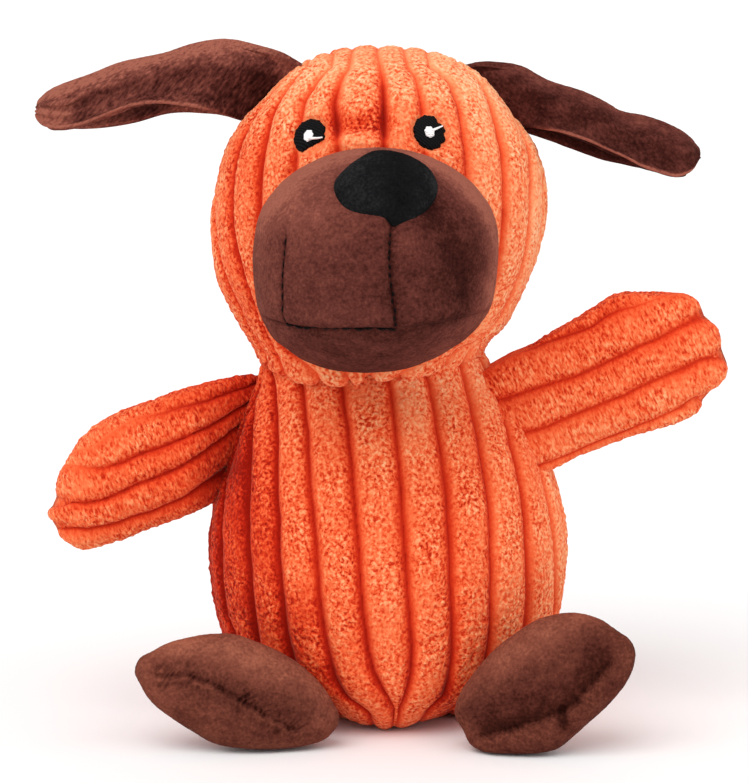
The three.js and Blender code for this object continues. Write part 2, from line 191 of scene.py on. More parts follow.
# ------------------------------------------------------------- mesh builders
def build(name, verts_mm, quads, tris, mat, uv=None, attrs=None, weld=False):
    """mesh object from arrays; uv is per corner in the order quads, tris"""
    me = bpy.data.meshes.new(name)
    nv, nq, nt = len(verts_mm), len(quads), len(tris)
    me.vertices.add(nv)
    me.vertices.foreach_set("co", (np.asarray(verts_mm, np.float32) * MM).ravel())
    loops = np.concatenate([np.asarray(quads, np.int32).ravel(), np.asarray(tris, np.int32).ravel()]).astype(np.int32)
    me.loops.add(len(loops))
    me.loops.foreach_set("vertex_index", loops)
    starts = np.concatenate([np.arange(nq) * 4, nq * 4 + np.arange(nt) * 3]).astype(np.int32)
    me.polygons.add(nq + nt)
    me.polygons.foreach_set("loop_start", starts)
    if uv is not None:
        layer = me.uv_layers.new(name="OFBake")
        layer.data.foreach_set("uv", np.asarray(uv, np.float32).ravel())
    for key, values in (attrs or {}).items():
        a = me.attributes.new(key, "FLOAT", "POINT")
        a.data.foreach_set("value", np.asarray(values, np.float32).ravel())
    me.update(calc_edges=True)
    me.validate()
    me.polygons.foreach_set("use_smooth", np.ones(len(me.polygons), bool))
    ob = bpy.data.objects.new(name, me)
    bpy.context.scene.collection.objects.link(ob)
    if weld:
        import bmesh
        bm = bmesh.new()
        bm.from_mesh(me)
        bmesh.ops.remove_doubles(bm, verts=bm.verts, dist=2e-6)
        bm.to_mesh(me)
        bm.free()
    me.materials.append(mat)
    return ob


def shell(name, P, Q, mat, centre, k=8, attrs=None, weld=False):
    """closed skin: fine outer grid P, inner grid Q of the same shape that is used at every k-th row and column"""
    nu, nv = P.shape[:2]
    assert (nu - 1) % k == 0 and (nv - 1) % k == 0, (name, nu, nv)
    Qc = Q[::k, ::k]
    mu, mv = Qc.shape[:2]
    o = np.arange(nu * nv).reshape(nu, nv)
    c = nu * nv + np.arange(mu * mv).reshape(mu, mv)
    quads = [np.stack([o[:-1, :-1], o[1:, :-1], o[1:, 1:], o[:-1, 1:]], -1).reshape(-1, 4),
             np.stack([c[:-1, :-1], c[:-1, 1:], c[1:, 1:], c[1:, :-1]], -1).reshape(-1, 4)]
    gu, gv = np.meshgrid(np.linspace(0, 1, nu), np.linspace(0, 1, nv), indexing="ij")
    ou = np.stack([0.03 + 0.94 * gu, 0.03 + 0.80 * gv], -1).reshape(-1, 2)
    cu, cv = np.meshgrid(np.linspace(0, 1, mu), np.linspace(0, 1, mv), indexing="ij")
    iu = np.stack([0.03 + 0.94 * cu, 0.89 + 0.09 * cv], -1).reshape(-1, 2)
    base_uv = np.vstack([ou, iu])
    uv = [base_uv[quads[0]].reshape(-1, 2), base_uv[quads[1]].reshape(-1, 2)]
    tris, tuv = [], []
    edges = [(o[:, 0], c[:, 0], (0, -0.02)), (o[-1, :], c[-1, :], (0.02, 0)),
             (o[::-1, -1], c[::-1, -1], (0, 0.02)), (o[0, ::-1], c[0, ::-1], (-0.02, 0))]
    for f, cc, shift in edges:
        for j in range(len(cc) - 1):
            seg = f[j * k:(j + 1) * k + 1]
            c0, c1, h = cc[j], cc[j + 1], k // 2
            w0, w1 = ou[seg[0]] + shift, ou[seg[k]] + shift
            for i in range(h):
                tris.append((seg[i + 1], seg[i], c0)); tuv += [ou[seg[i + 1]], ou[seg[i]], w0]
            tris.append((seg[h], c0, c1)); tuv += [ou[seg[h]], w0, w1]
            for i in range(h, k):
                tris.append((seg[i + 1], seg[i], c1)); tuv += [ou[seg[i + 1]], ou[seg[i]], w1]
    verts = np.vstack([P.reshape(-1, 3), Qc.reshape(-1, 3)])
    quads = np.vstack(quads)
    tris = np.asarray(tris)
    uvs = np.vstack(uv + [np.asarray(tuv)])
    # faces outward: compare the outer grid's own turn with the way out from the middle
    n = np.cross(np.gradient(P, axis=0), np.gradient(P, axis=1))
    if np.mean(np.sum(unit(n) * unit(P - centre), -1)) < 0:
        nq = len(quads)
        uq, ut = uvs[:nq * 4].reshape(-1, 4, 2), uvs[nq * 4:].reshape(-1, 3, 2)
        quads, tris = quads[:, ::-1], tris[:, ::-1]
        uvs = np.vstack([uq[:, ::-1].reshape(-1, 2), ut[:, ::-1].reshape(-1, 2)])
    full = {}
    for key, a in (attrs or {}).items():
        full[key] = np.concatenate([np.asarray(a).ravel(), np.asarray(a)[::k, ::k].ravel()])
    return build(name, verts, quads, tris, mat, uvs, full, weld)


def tubes(name, runs, mat, sides=8, tone=None):
    """round threads: each run is (points (n, 3), radii (n,)), with rounded closed ends"""
    verts, quads, tris, quv, tuv = [], [], [], [], []
    base = 0
    count = len(runs)
    for r, (pts, rad) in enumerate(runs):
        pts, rad = np.asarray(pts, float), np.broadcast_to(np.asarray(rad, float), (len(pts),))
        t = unit(np.gradient(pts, axis=0))
        up = np.array([0.0, 0.0, 1.0]) if abs(t[0, 2]) < 0.9 else np.array([1.0, 0.0, 0.0])
        a = unit(np.cross(t, up))
        b = np.cross(t, a)
        ang = np.linspace(0, 2 * math.pi, sides, endpoint=False)
        ring = pts[:, None] + rad[:, None, None] * (np.cos(ang)[None, :, None] * a[:, None] + np.sin(ang)[None, :, None] * b[:, None])
        n = len(pts)
        verts.append(ring.reshape(-1, 3))
        verts.append((pts[0] - t[0] * rad[0] * 0.5)[None])
        verts.append((pts[-1] + t[-1] * rad[-1] * 0.5)[None])
        idx = base + np.arange(n * sides).reshape(n, sides)
        v0, v1 = (r + 0.05) / count, (r + 0.95) / count
        for i in range(n - 1):
            for j in range(sides):
                j2 = (j + 1) % sides
                quads.append((idx[i, j], idx[i, j2], idx[i + 1, j2], idx[i + 1, j]))
                u0, u1 = 0.05 + 0.9 * i / (n - 1), 0.05 + 0.9 * (i + 1) / (n - 1)
                w0, w1 = v0 + (v1 - v0) * j / sides, v0 + (v1 - v0) * (j + 1) / sides
                quv += [(u0, w0), (u0, w1), (u1, w1), (u1, w0)]
        e0, e1 = base + n * sides, base + n * sides + 1
        for j in range(sides):
            j2 = (j + 1) % sides
            tris.append((e0, idx[0, j2], idx[0, j])); tuv += [(0.01, v0), (0.03, v0), (0.03, v1)]
            tris.append((e1, idx[-1, j], idx[-1, j2])); tuv += [(0.99, v0), (0.97, v0), (0.97, v1)]
        base += n * sides + 2
    verts = np.vstack(verts)
    quads, tris = np.asarray(quads), np.asarray(tris)
    # the ring turns the other way about when cross(a, b) = -t; make the faces look outward
    q = verts[quads[:, 0]]
    n = np.cross(verts[quads[:, 1]] - q, verts[quads[:, 3]] - q)
    mid = verts[quads].mean(1)
    first = runs[0][0]
    if np.mean(np.sum(n[:sides] * (mid[:sides] - np.asarray(first[:2], float).mean(0)), -1)) < 0:
        quads, tris = quads[:, ::-1], tris[:, ::-1]
    return build(name, verts, quads, tris, mat, np.asarray(quv + tuv), None)


# ------------------------------------------------------------------ materials
def new_material(name):
    m = bpy.data.materials.new(name)
    m.use_nodes = True
    return m, m.node_tree.nodes, m.node_tree.links, m.node_tree.nodes["Principled BSDF"]


def ramp(nodes, stops):
    r = nodes.new("ShaderNodeValToRGB")
    el = r.color_ramp.elements
    while len(el) < len(stops):
        el.new(0.5)
    for e, (pos, col) in zip(el, stops):
        e.position = pos
        e.color = (*col, 1.0)
    return r


def math_node(nodes, links, op, a, b):
    n = nodes.new("ShaderNodeMath")
    n.operation = op
    for i, x in enumerate((a, b)):
        if hasattr(x, "links"):
            links.new(x, n.inputs[i])
        else:
            n.inputs[i].default_value = x
    return n.outputs[0]


def noise_node(nodes, links, coord, scale, detail=2.0, rough=0.5, stretch=None):
    n = nodes.new("ShaderNodeTexNoise")
    n.inputs["Scale"].default_value = scale
    n.inputs["Detail"].default_value = detail
    n.inputs["Roughness"].default_value = rough
    if stretch is not None:
        mp = nodes.new("ShaderNodeMapping")
        mp.inputs["Scale"].default_value = stretch
        links.new(coord, mp.inputs["Vector"])
        coord = mp.outputs["Vector"]
    links.new(coord, n.inputs["Vector"])
    return n.outputs["Fac"]


def pile_material(name, stops, fine, fine_amt, patch, patch_amt, rough, sheen, tint, bump, bump_mm, streak=None):
    """short pile: broad tone comes with the mesh; fibre grain, brushed patches and streaks are added here"""
    m, nodes, links, bsdf = new_material(name)
    co = nodes.new("ShaderNodeTexCoord").outputs["Object"]
    at = nodes.new("ShaderNodeAttribute")
    at.attribute_name = "tone"
    f1 = noise_node(nodes, links, co, fine, 3.0, 0.6)
    f2 = noise_node(nodes, links, co, patch, 2.0, 0.5)
    t = math_node(nodes, links, "ADD", at.outputs["Fac"], math_node(nodes, links, "MULTIPLY", math_node(nodes, links, "SUBTRACT", f1, 0.5), fine_amt))
    t = math_node(nodes, links, "ADD", t, math_node(nodes, links, "MULTIPLY", math_node(nodes, links, "SUBTRACT", f2, 0.5), patch_amt))
    high = f1
    if streak is not None:
        angle, along, across_, amount = streak
        f3 = noise_node(nodes, links, turned(nodes, links, co, angle, (along, across_, across_)), 1.0, 1.5, 0.5)
        t = math_node(nodes, links, "ADD", t, math_node(nodes, links, "MULTIPLY", math_node(nodes, links, "SUBTRACT", f3, 0.5), amount))
        high = math_node(nodes, links, "ADD", math_node(nodes, links, "MULTIPLY", f1, 0.5), f3)
    r = ramp(nodes, stops)
    links.new(t, r.inputs["Fac"])
    links.new(r.outputs["Color"], bsdf.inputs["Base Color"])
    rr = math_node(nodes, links, "ADD", rough, math_node(nodes, links, "MULTIPLY", math_node(nodes, links, "SUBTRACT", f1, 0.5), 0.12))
    links.new(rr, bsdf.inputs["Roughness"])
    bsdf.inputs["Sheen Weight"].default_value = sheen
    bsdf.inputs["Sheen Roughness"].default_value = 0.4
    bsdf.inputs["Sheen Tint"].default_value = (*tint, 1.0)
    bsdf.inputs["Specular IOR Level"].default_value = 0.02
    bp = nodes.new("ShaderNodeBump")
    bp.inputs["Strength"].default_value = bump
    bp.inputs["Distance"].default_value = bump_mm * MM
    links.new(high, bp.inputs["Height"])
    links.new(bp.outputs["Normal"], bsdf.inputs["Normal"])
    return m


def turned(nodes, links, co, angle, per_metre):
    """object coordinates turned about y by angle (degrees), then counted per metre along each axis"""
    mp = nodes.new("ShaderNodeMapping")
    mp.vector_type = "TEXTURE"
    mp.inputs["Rotation"].default_value = (0.0, angle * DEG, 0.0)
    mp.inputs["Scale"].default_value = tuple(1.0 / k for k in per_metre)
    links.new(co, mp.inputs["Vector"])
    return mp.outputs["Vector"]


def cord_material(name, angle, per_metre, twist, amount):
    """ribbed pile: the mesh gives the tone and how much the tufts stand out; the tufts themselves are made here"""
    m, nodes, links, bsdf = new_material(name)
    co = nodes.new("ShaderNodeTexCoord").outputs["Object"]
    tone, tuft = nodes.new("ShaderNodeAttribute"), nodes.new("ShaderNodeAttribute")
    tone.attribute_name, tuft.attribute_name = "tone", "tuft"
    n = nodes.new("ShaderNodeTexNoise")
    n.inputs["Scale"].default_value = 1.0
    n.inputs["Detail"].default_value = 1.0
    n.inputs["Roughness"].default_value = 0.5
    n.inputs["Distortion"].default_value = twist
    links.new(turned(nodes, links, co, angle, per_metre), n.inputs["Vector"])
    def part_of(lo, hi, a, b):
        mr = nodes.new("ShaderNodeMapRange")
        mr.interpolation_type = "SMOOTHSTEP"
        for key, value in (("From Min", lo), ("From Max", hi), ("To Min", a), ("To Max", b)):
            mr.inputs[key].default_value = value
        links.new(n.outputs["Fac"], mr.inputs["Value"])
        return mr.outputs["Result"]

    tip = math_node(nodes, links, "ADD", part_of(0.24, 0.53, -1.0, 0.0), part_of(0.47, 0.76, 0.0, 0.8))
    f1 = noise_node(nodes, links, co, 2600, 1.0, 0.6)
    f2 = noise_node(nodes, links, co, 75, 2.0, 0.5)
    stand = math_node(nodes, links, "MULTIPLY", tip, tuft.outputs["Fac"])
    t = math_node(nodes, links, "ADD", tone.outputs["Fac"], math_node(nodes, links, "MULTIPLY", stand, amount))
    t = math_node(nodes, links, "ADD", t, math_node(nodes, links, "MULTIPLY", math_node(nodes, links, "SUBTRACT", f1, 0.5), 0.12))
    t = math_node(nodes, links, "ADD", t, math_node(nodes, links, "MULTIPLY", math_node(nodes, links, "SUBTRACT", f2, 0.5), 0.12))
    r = ramp(nodes, [(0.0, (0.26, 0.006, 0.002)), (0.18, (0.44, 0.016, 0.005)), (0.34, (0.63, 0.042, 0.011)), (0.50, (0.80, 0.108, 0.033)),
                     (0.64, (0.88, 0.190, 0.070)), (0.80, (0.93, 0.335, 0.150)), (1.0, (0.95, 0.52, 0.29))])
    links.new(t, r.inputs["Fac"])
    links.new(r.outputs["Color"], bsdf.inputs["Base Color"])
    rr = math_node(nodes, links, "ADD", 0.9, math_node(nodes, links, "MULTIPLY", math_node(nodes, links, "SUBTRACT", f1, 0.5), 0.12))
    links.new(rr, bsdf.inputs["Roughness"])
    bsdf.inputs["Sheen Weight"].default_value = 0.12
    bsdf.inputs["Sheen Roughness"].default_value = 0.45
    bsdf.inputs["Sheen Tint"].default_value = (1.0, 0.70, 0.50, 1.0)
    bsdf.inputs["Specular IOR Level"].default_value = 0.03
    high = math_node(nodes, links, "ADD", math_node(nodes, links, "MULTIPLY", stand, 0.5), math_node(nodes, links, "MULTIPLY", f1, 0.18))
    bp = nodes.new("ShaderNodeBump")
    bp.inputs["Strength"].default_value = 0.7
    bp.inputs["Distance"].default_value = 0.40 * MM
    links.new(high, bp.inputs["Height"])
    links.new(bp.outputs["Normal"], bsdf.inputs["Normal"])
    return m


CORD = cord_material("corduroy_orange", 0.0, (1120, 1120, 1020), 0.35, 0.30)
# on the arms the tufts stand in short rows across the ribs
CORD_ARM = {"left": cord_material("corduroy_orange_left_arm", -20.0, (1500, 850, 640), 0.45, 0.27),
            "right": cord_material("corduroy_orange_right_arm", -23.0, (1500, 850, 640), 0.35, 0.27)}
BROWN_STOPS = [(0.0, (0.018, 0.0040, 0.0030)), (0.25, (0.048, 0.0112, 0.0085)), (0.5, (0.108, 0.0285, 0.0212)), (0.75, (0.190, 0.054, 0.0385)), (1.0, (0.32, 0.102, 0.068))]
BROWN = pile_material("short_pile_brown", BROWN_STOPS, 1350, 0.62, 60, 0.16, 0.9, 0.02, (0.9, 0.45, 0.35), 0.9, 0.35, (0.0, 420, 1100, 0.16))
WARM_STOPS = [(p_, (r_, g_, b_ * 0.88)) for p_, (r_, g_, b_) in BROWN_STOPS]
BROWN_FOOT = pile_material("short_pile_brown_foot", WARM_STOPS, 1350, 0.55, 60, 0.14, 0.9, 0.02, (0.9, 0.45, 0.35), 0.8, 0.32, (0.0, 420, 1100, 0.14))
BROWN_EAR = {"left": pile_material("short_pile_brown_left_ear", BROWN_STOPS, 1350, 0.5, 60, 0.20, 0.9, 0.03, (0.9, 0.5, 0.4), 0.9, 0.42, (-52.0, 400, 1300, 1.0)),
             "right": pile_material("short_pile_brown_right_ear", BROWN_STOPS, 1350, 0.6, 60, 0.12, 0.9, 0.03, (0.9, 0.5, 0.4), 0.9, 0.38, (50.0, 520, 1250, 0.35))}
BLACK = pile_material("short_pile_black", [(0.0, (0.0030, 0.0030, 0.0034)), (0.5, (0.0085, 0.0084, 0.0090)), (1.0, (0.030, 0.029, 0.030))],
                      1300, 0.9, 120, 0.30, 0.9, 0.0, (0.7, 0.75, 0.85), 0.9, 0.35)


def thread_material(name, dark, light, scale, rough=0.55, sheen=0.1):
    """twisted thread: fine slanting strands"""
    m, nodes, links, bsdf = new_material(name)
    co = nodes.new("ShaderNodeTexCoord").outputs["Object"]
    w = nodes.new("ShaderNodeTexWave")
    w.wave_type, w.bands_direction = "BANDS", "DIAGONAL"
    w.inputs["Scale"].default_value = scale
    w.inputs["Distortion"].default_value = 1.5
    w.inputs["Detail"].default_value = 1.0
    links.new(co, w.inputs["Vector"])
    r = ramp(nodes, [(0.0, dark), (1.0, light)])
    links.new(w.outputs["Fac"], r.inputs["Fac"])
    links.new(r.outputs["Color"], bsdf.inputs["Base Color"])
    bsdf.inputs["Roughness"].default_value = rough
    bsdf.inputs["Sheen Weight"].default_value = sheen
    bsdf.inputs["Specular IOR Level"].default_value = 0.06
    bp = nodes.new("ShaderNodeBump")
    bp.inputs["Strength"].default_value = 0.6
    bp.inputs["Distance"].default_value = 0.15 * MM
    links.new(w.outputs["Fac"], bp.inputs["Height"])
    links.new(bp.outputs["Normal"], bsdf.inputs["Normal"])
    return m


THREAD_DARK = thread_material("thread_dark_brown", (0.0030, 0.0020, 0.0020), (0.012, 0.007, 0.006), 700, 0.7, 0.0)
THREAD_BLACK = thread_material("thread_black", (0.0012, 0.0012, 0.0015), (0.0075, 0.0075, 0.0085), 520, 0.6, 0.0)
THREAD_WHITE = thread_material("thread_white", (0.86, 0.86, 0.85), (0.96, 0.96, 0.95), 520, 0.5, 0.0)
THREAD_ORANGE = thread_material("thread_orange", (0.30, 0.035, 0.010), (0.66, 0.13, 0.035), 600)


def fibre_material():
    m, nodes, links, bsdf = new_material("loose_fibre")
    co = nodes.new("ShaderNodeTexCoord").outputs["Object"]
    f = noise_node(nodes, links, co, 420, 5.0, 0.65, (1.0, 0.35, 1.0))
    r = ramp(nodes, [(0.25, (0.55, 0.54, 0.51)), (0.75, (0.90, 0.89, 0.86))])
    links.new(f, r.inputs["Fac"])
    links.new(r.outputs["Color"], bsdf.inputs["Base Color"])
    bsdf.inputs["Roughness"].default_value = 0.95
    bsdf.inputs["Sheen Weight"].default_value = 0.3
    bp = nodes.new("ShaderNodeBump")
    bp.inputs["Strength"].default_value = 0.8
    bp.inputs["Distance"].default_value = 0.0008
    links.new(f, bp.inputs["Height"])
    links.new(bp.outputs["Normal"], bsdf.inputs["Normal"])
    return m


def plastic_material():
    m, nodes, links, bsdf = new_material("squeaker_plastic")
    co = nodes.new("ShaderNodeTexCoord").outputs["Object"]
    f = noise_node(nodes, links, co, 160, 4.0, 0.6)
    r = ramp(nodes, [(0.3, (0.70, 0.69, 0.65)), (0.7, (0.80, 0.79, 0.75))])
    links.new(f, r.inputs["Fac"])
    links.new(r.outputs["Color"], bsdf.inputs["Base Color"])
    rr = math_node(nodes, links, "ADD", 0.30, math_node(nodes, links, "MULTIPLY", f, 0.2))
    links.new(rr, bsdf.inputs["Roughness"])
    bp = nodes.new("ShaderNodeBump")
    bp.inputs["Strength"].default_value = 0.15
    bp.inputs["Distance"].default_value = 0.0002
    links.new(f, bp.inputs["Height"])
    links.new(bp.outputs["Normal"], bsdf.inputs["Normal"])
    return m


FIBRE, PLASTIC = fibre_material(), plastic_material()

# ------------------------------------------------------------ pile and ribs
RIB = 2.0  # groove depth, mm


def groove_lines(lines, to_surface, step, lo, hi):
    """rib coordinate on a surface from grooves given as runs of pixels; whole numbers lie in the grooves.
    to_surface turns pixels into an angle and a height; even grooves are added beyond the first and the last."""
    ks = sorted(lines)
    tab = []
    for k in ks:
        p = np.asarray(lines[k], float)
        th, z = to_surface(p[:, 0], p[:, 1])
        o = np.argsort(z)
        tab.append((z[o], th[o]))

    def rho(th, z):
        T = [np.interp(z, a, b) for a, b in tab]
        for i in range(1, len(T)):
            T[i] = np.maximum(T[i], T[i - 1] + 0.3)
        first = ks[0]
        while np.min(T[0]) > lo:
            T.insert(0, T[0] - step)
            first -= 1
        while np.max(T[-1]) < hi:
            T.append(T[-1] + step)
        r = np.full(np.shape(th), float(first)) + np.minimum((th - T[0]) / step, 0) + np.maximum((th - T[-1]) / step, 0)
        wide = np.full(np.shape(th), float(step))
        for a, b in zip(T[:-1], T[1:]):
            r = r + np.clip((th - a) / (b - a), 0, 1)
            wide = np.where((th >= a) & (th < b), b - a, wide)
        return r, wide

    return rho


def corduroy(P, nrm, rho, seed, depth=RIB, fade=1.0, lower=0.0, arm=False, shade=0.42):
    """outer surface of corduroy pile whose rib crowns lie on P; returns the new points, their tone, how much the tufts
    stand out and the rib height. Across a rib the tone runs from its smooth near side to its tufted crown; painted
    light makes the body's near side paler, and painted shade darkens the far side and the grooves."""
    r = rho + 0.02 * N3(P / 26.0 + seed) + 0.010 * N4(P / 7.0 + seed)
    k = np.floor(r)
    ph = r - k
    u = np.abs(2 * ph - 1)
    h = 1 - u ** 3.4
    if arm:
        tuft = (0.35 + 0.65 * sstep(0.08, 0.30, ph)) * sstep(0.0, 0.06, ph) * sstep(1.0, 0.92, ph)
        base = 0.50 + 0.08 * sstep(0.15, 0.5, ph)
    else:
        tuft = (0.25 + 0.75 * sstep(0.06, 0.26, ph)) * sstep(0.0, 0.08, ph) * sstep(1.0, 0.84, ph)
        # painted light on the near side of each body rib, painted shade on its far side
        base = 0.55 + 0.07 * sstep(0.36, 0.14, ph) - 0.04 * sstep(0.72, 0.92, ph)
    tuft = tuft * np.clip(0.95 + 0.5 * N4(P / 9.0 + seed), 0.5, 1.4)
    n = 0.7 * N1(P / 1.7 + seed) + 0.4 * N2(P / 0.9 + 9.1)
    d = (-depth * (0.92 + 0.16 * rand1(k, seed)) * (1 - h) * fade + 0.40 * n * (0.15 + 0.85 * tuft)
         + 0.22 * N4(P / 15.0 - seed) * fade - lower)
    # shade darkens the grooves: painted shade
    tone = base + 0.05 * n * tuft - shade * (1 - h) ** (2.0 if arm else 1.15) * fade + 0.04 * (rand1(k, seed + 3) - 0.5) * 2
    return P + nrm * d[..., None], tone, tuft, h


def rib_height(rho):
    u = np.abs(2 * (rho - np.floor(rho)) - 1)
    return 1 - u ** 3.4


def tufts(P, seed=0.0):
    n = 0.74 * N1(P / 1.35 + seed) + 0.45 * N2(P * 1.4 + 9.1)
    return n, sstep(0.20, 0.62, -n)


def short_pile(P, nrm, seed, amp=0.09, mottle=0.12):
    n = 0.6 * N1(P / 0.95 + seed) + 0.5 * N2(P / 2.2 - seed)
    m = N3(P * np.array([0.55, 1.0, 1.0]) / 3.6 + seed) + 0.7 * N4(P / 10.0 + seed)
    tone = 0.5 + 0.14 * n + mottle * m
    return P + nrm * (amp * n)[..., None], np.clip(tone, 0.02, 0.98)


pieces = {}


def keep(ob, nodes):
    if nodes:
        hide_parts(*nodes)
    pieces[ob.name] = ob
    return ob


# --------------------------------------------------------------------- body
BODY = curve([(24.0, 0.0), (28, 0.5), (33.4, 2.6), (38.2, 6.2), (42.5, 11.5), (45.4, 17.5), (47.8, 26), (49.9, 36), (50.7, 46),
              (50.0, 56), (47.6, 66), (44.0, 75), (39.4, 84), (34.8, 91), (31.4, 95.4), (29.2, 99), (27.4, 102.4), (24.0, 104.6)])
_bp = BODY(np.linspace(0, 1, 4000))
BODY_R = lambda z: np.interp(z, _bp[:, 1], _bp[:, 0])
BODY_C = np.array([0, 0, 50.0])
BODY_DELTA = pchip([0, 20, 46, 70, 92, 103], [15.2, 14.7, 14.2, 16.2, 19.5, 22])


SHOULDER = pchip([70, 76, 84, 92, 96, 99, 102, 106], [0, 0.6, 1.7, 3.8, 5.4, 6.4, 6.4, 5.6])


def shoulder(th, z):
    """how far the viewer's left shoulder stands out"""
    return SHOULDER(z) * sstep(-15, -75, th) * sstep(-175, -110, th)


def body_px(u, v):
    y = np.full(np.shape(u), -34.0)
    th = np.zeros(np.shape(u))
    for _ in range(80):
        x, z = at_px(u, v, y)
        r = BODY_R(z)
        th = 0.5 * th + 0.5 * np.arcsin(np.clip((x + shoulder(th, z)) / (r - 1.4), -0.999, 0.999)) / DEG
        y = 0.6 * y + 0.4 * (-0.86 * r * np.maximum(np.cos(th * DEG), 0.03))
    return th, z


def crop(pts, scale, x0, y0):
    p = np.asarray(pts, float)
    return np.stack([p[:, 0] / scale + x0, p[:, 1] / scale + y0], -1)


B_ = lambda *pts: crop(pts, 3.824, 190, 360)
BODY_RHO = groove_lines({
    -5: B_((165, 400), (150, 440), (132, 560), (126, 700), (129, 850), (150, 980), (175, 1040)),
    -4: B_((262, 120), (255, 180), (240, 330), (232, 500), (228, 640), (235, 800), (245, 950), (265, 1080), (300, 1200)),
    -3: B_((318, 40), (330, 100), (337, 200), (338, 300), (337, 450), (345, 600), (347, 800), (360, 950), (378, 1080), (420, 1220), (520, 1340)),
    -2: B_((425, 60), (440, 130), (453, 270), (458, 400), (470, 560), (484, 700), (492, 850), (502, 980), (522, 1100), (552, 1220), (605, 1310), (690, 1375)),
    -1: B_((575, 60), (590, 120), (605, 250), (620, 400), (633, 550), (645, 700), (653, 850), (665, 1000), (681, 1120), (703, 1200), (742, 1275), (784, 1345)),
    0: B_((760, 60), (770, 110), (785, 250), (800, 400), (812, 550), (822, 700), (832, 850), (843, 1000), (849, 1120), (842, 1210), (820, 1290), (796, 1345)),
    1: B_((895, 30), (915, 90), (940, 250), (965, 400), (984, 550), (992, 700), (998, 850), (1003, 1000), (1000, 1130), (985, 1230), (958, 1310), (905, 1375)),
    2: B_((1030, 10), (1045, 60), (1075, 200), (1105, 350), (1130, 480), (1145, 620), (1149, 750), (1151, 900), (1148, 1030), (1138, 1110), (1100, 1250)),
    3: B_((1110, 10), (1140, 70), (1190, 200), (1225, 330), (1255, 450), (1271, 570), (1282, 700), (1286, 850), (1285, 960), (1272, 1050)),
    4: B_((1190, 90), (1225, 180), (1290, 290), (1335, 420), (1360, 520), (1379, 640), (1390, 760), (1392, 880), (1386, 970)),
}, body_px, 13.0, -95, 95)


def body_point(th, s):
    """th in degrees from straight ahead (+ to the viewer's right)"""
    rz = BODY(s)
    k = 0.86 - 0.02 * sstep(100, 180, np.abs(th))
    x = rz[..., 0] * np.sin(th * DEG) - shoulder(th, rz[..., 1])
    y = -rz[..., 0] * k * np.cos(th * DEG)
    return np.stack([x, y, rz[..., 1]], -1)


def pouch(x, y, z):
    """the front's lower edge rises to both sides of its middle point"""
    return 4.2 * np.clip((np.abs(x - 0.5) - 1.0) / 16.0, 0, 1) ** 1.3 * (1 - sstep(2.0, 15.0, z)) * sstep(-6, -18, y)


def body_panel(name, th0, th1, nu, nv, nodes, seed, back):
    th, s = np.meshgrid(np.linspace(th0, th1, nu), np.linspace(0, 1, nv), indexing="ij")
    P = body_point(th, s)
    nrm = grid_normals(P, BODY_C)
    z, r = P[..., 2], np.hypot(P[..., 0], P[..., 1])
    rho, wide = ((180 - np.abs(th)) / BODY_DELTA(z), BODY_DELTA(z)) if back else BODY_RHO(th, z)
    d0, d1 = np.abs(th - th0) * DEG * r, np.abs(th1 - th) * DEG * r
    seam = 1.7 * (np.exp(-(d0 / 2.0) ** 2) + (0.25 if back else 1.0) * np.exp(-(d1 / 2.0) ** 2)) * sstep(0, 8, z)
    thin = sstep(1.2, 5.0, wide * DEG * r)
    O, tone, tuft, h = corduroy(P, nrm, rho, seed, fade=(0.45 + 0.55 * sstep(0.0, 6.0, z)) * thin, lower=seam + 1.0 * (1 - thin))
    tone = tone - 0.16 * seam / 1.7 - 0.12 * (1 - thin)
    if not back:
        # painted shade darkens the viewer's left, behind the left arm, the lower grooves and low beside the feet;
        # painted light makes the top under the head and the right edge paler
        x = P[..., 0]
        tone = tone - 0.29 * sstep(-22, -44, P[..., 0]) * (1 - 0.7 * sstep(64, 86, z)) + 0.09 * sstep(8, 38, P[..., 0])
        tone = tone + sstep(84, 98, z) * (0.02 + 0.10 * sstep(-8, 18, x)) + 0.11 * sstep(40, 46, x) * sstep(28, 42, z) * sstep(96, 84, z)
        tone = tone - 0.22 * sstep(-35, -40, x) * sstep(64, 72, z) * sstep(99, 92, z) - 0.10 * (1 - h) ** 0.6 * sstep(50, 20, z)
        tone = tone - 0.24 * np.exp(-((x + 18.5) / 6.5) ** 2) * sstep(28, 14, z) - 0.22 * np.exp(-((x - 17.0) / 4.0) ** 2) * sstep(20, 10, z)
        # painted light under the chin, painted shade low on one rib
        tone = tone + 0.06 * sstep(71, 82, z) * sstep(101, 95, z) * np.exp(-((x - 9) / 12) ** 2) - 0.22 * np.exp(-((x + 24.6) / 4.6) ** 2) * sstep(50, 34, z) * sstep(8, 16, z)
        tone = tone + 0.09 * np.exp(-((x + 41.5) / 4.0) ** 2) * sstep(64, 52, z) * sstep(14, 24, z)
    else:
        # the painted shade and light at the side seams carry on round the back and fade out
        tone = tone + sstep(155, 92, np.abs(th)) * np.where(th < 0, -0.27 * (1 - 0.7 * sstep(64, 86, z)) - 0.18 * sstep(64, 72, z) * sstep(99, 92, z),
                                                            0.09 + 0.09 * sstep(28, 42, z) * sstep(96, 84, z))
    lift = pouch(O[..., 0], O[..., 1], O[..., 2])
    O[..., 2] = np.maximum(O[..., 2] + lift, 0.03)
    Q = P - nrm * (3.2 + 0.5 * seam)[..., None]
    Q[..., 2] = np.maximum(Q[..., 2] + lift, 1.6)
    ob = shell(name, O, Q, CORD, BODY_C, attrs={"tone": np.clip(tone, 0.02, 0.98), "tuft": tuft})
    return keep(ob, nodes)


body_front = body_panel("body_front_cover", -90, 90, 369, 313, ["body_front_panel"], 1.0, False)
body_bl = body_panel("body_back_left_cover", -90.0, -180.0, 169, 281, ["body_back_left_panel"], 2.0, True)
body_br = body_panel("body_back_right_cover", 90.0, 180.0, 169, 281, ["body_back_right_panel"], 3.0, True)

# seat panel: flat where it rests, ribs side by side, pulled up at its seam, with painted shade in its grooves
u, v = np.meshgrid(np.linspace(-1, 1, 97), np.linspace(-1, 1, 97), indexing="ij")


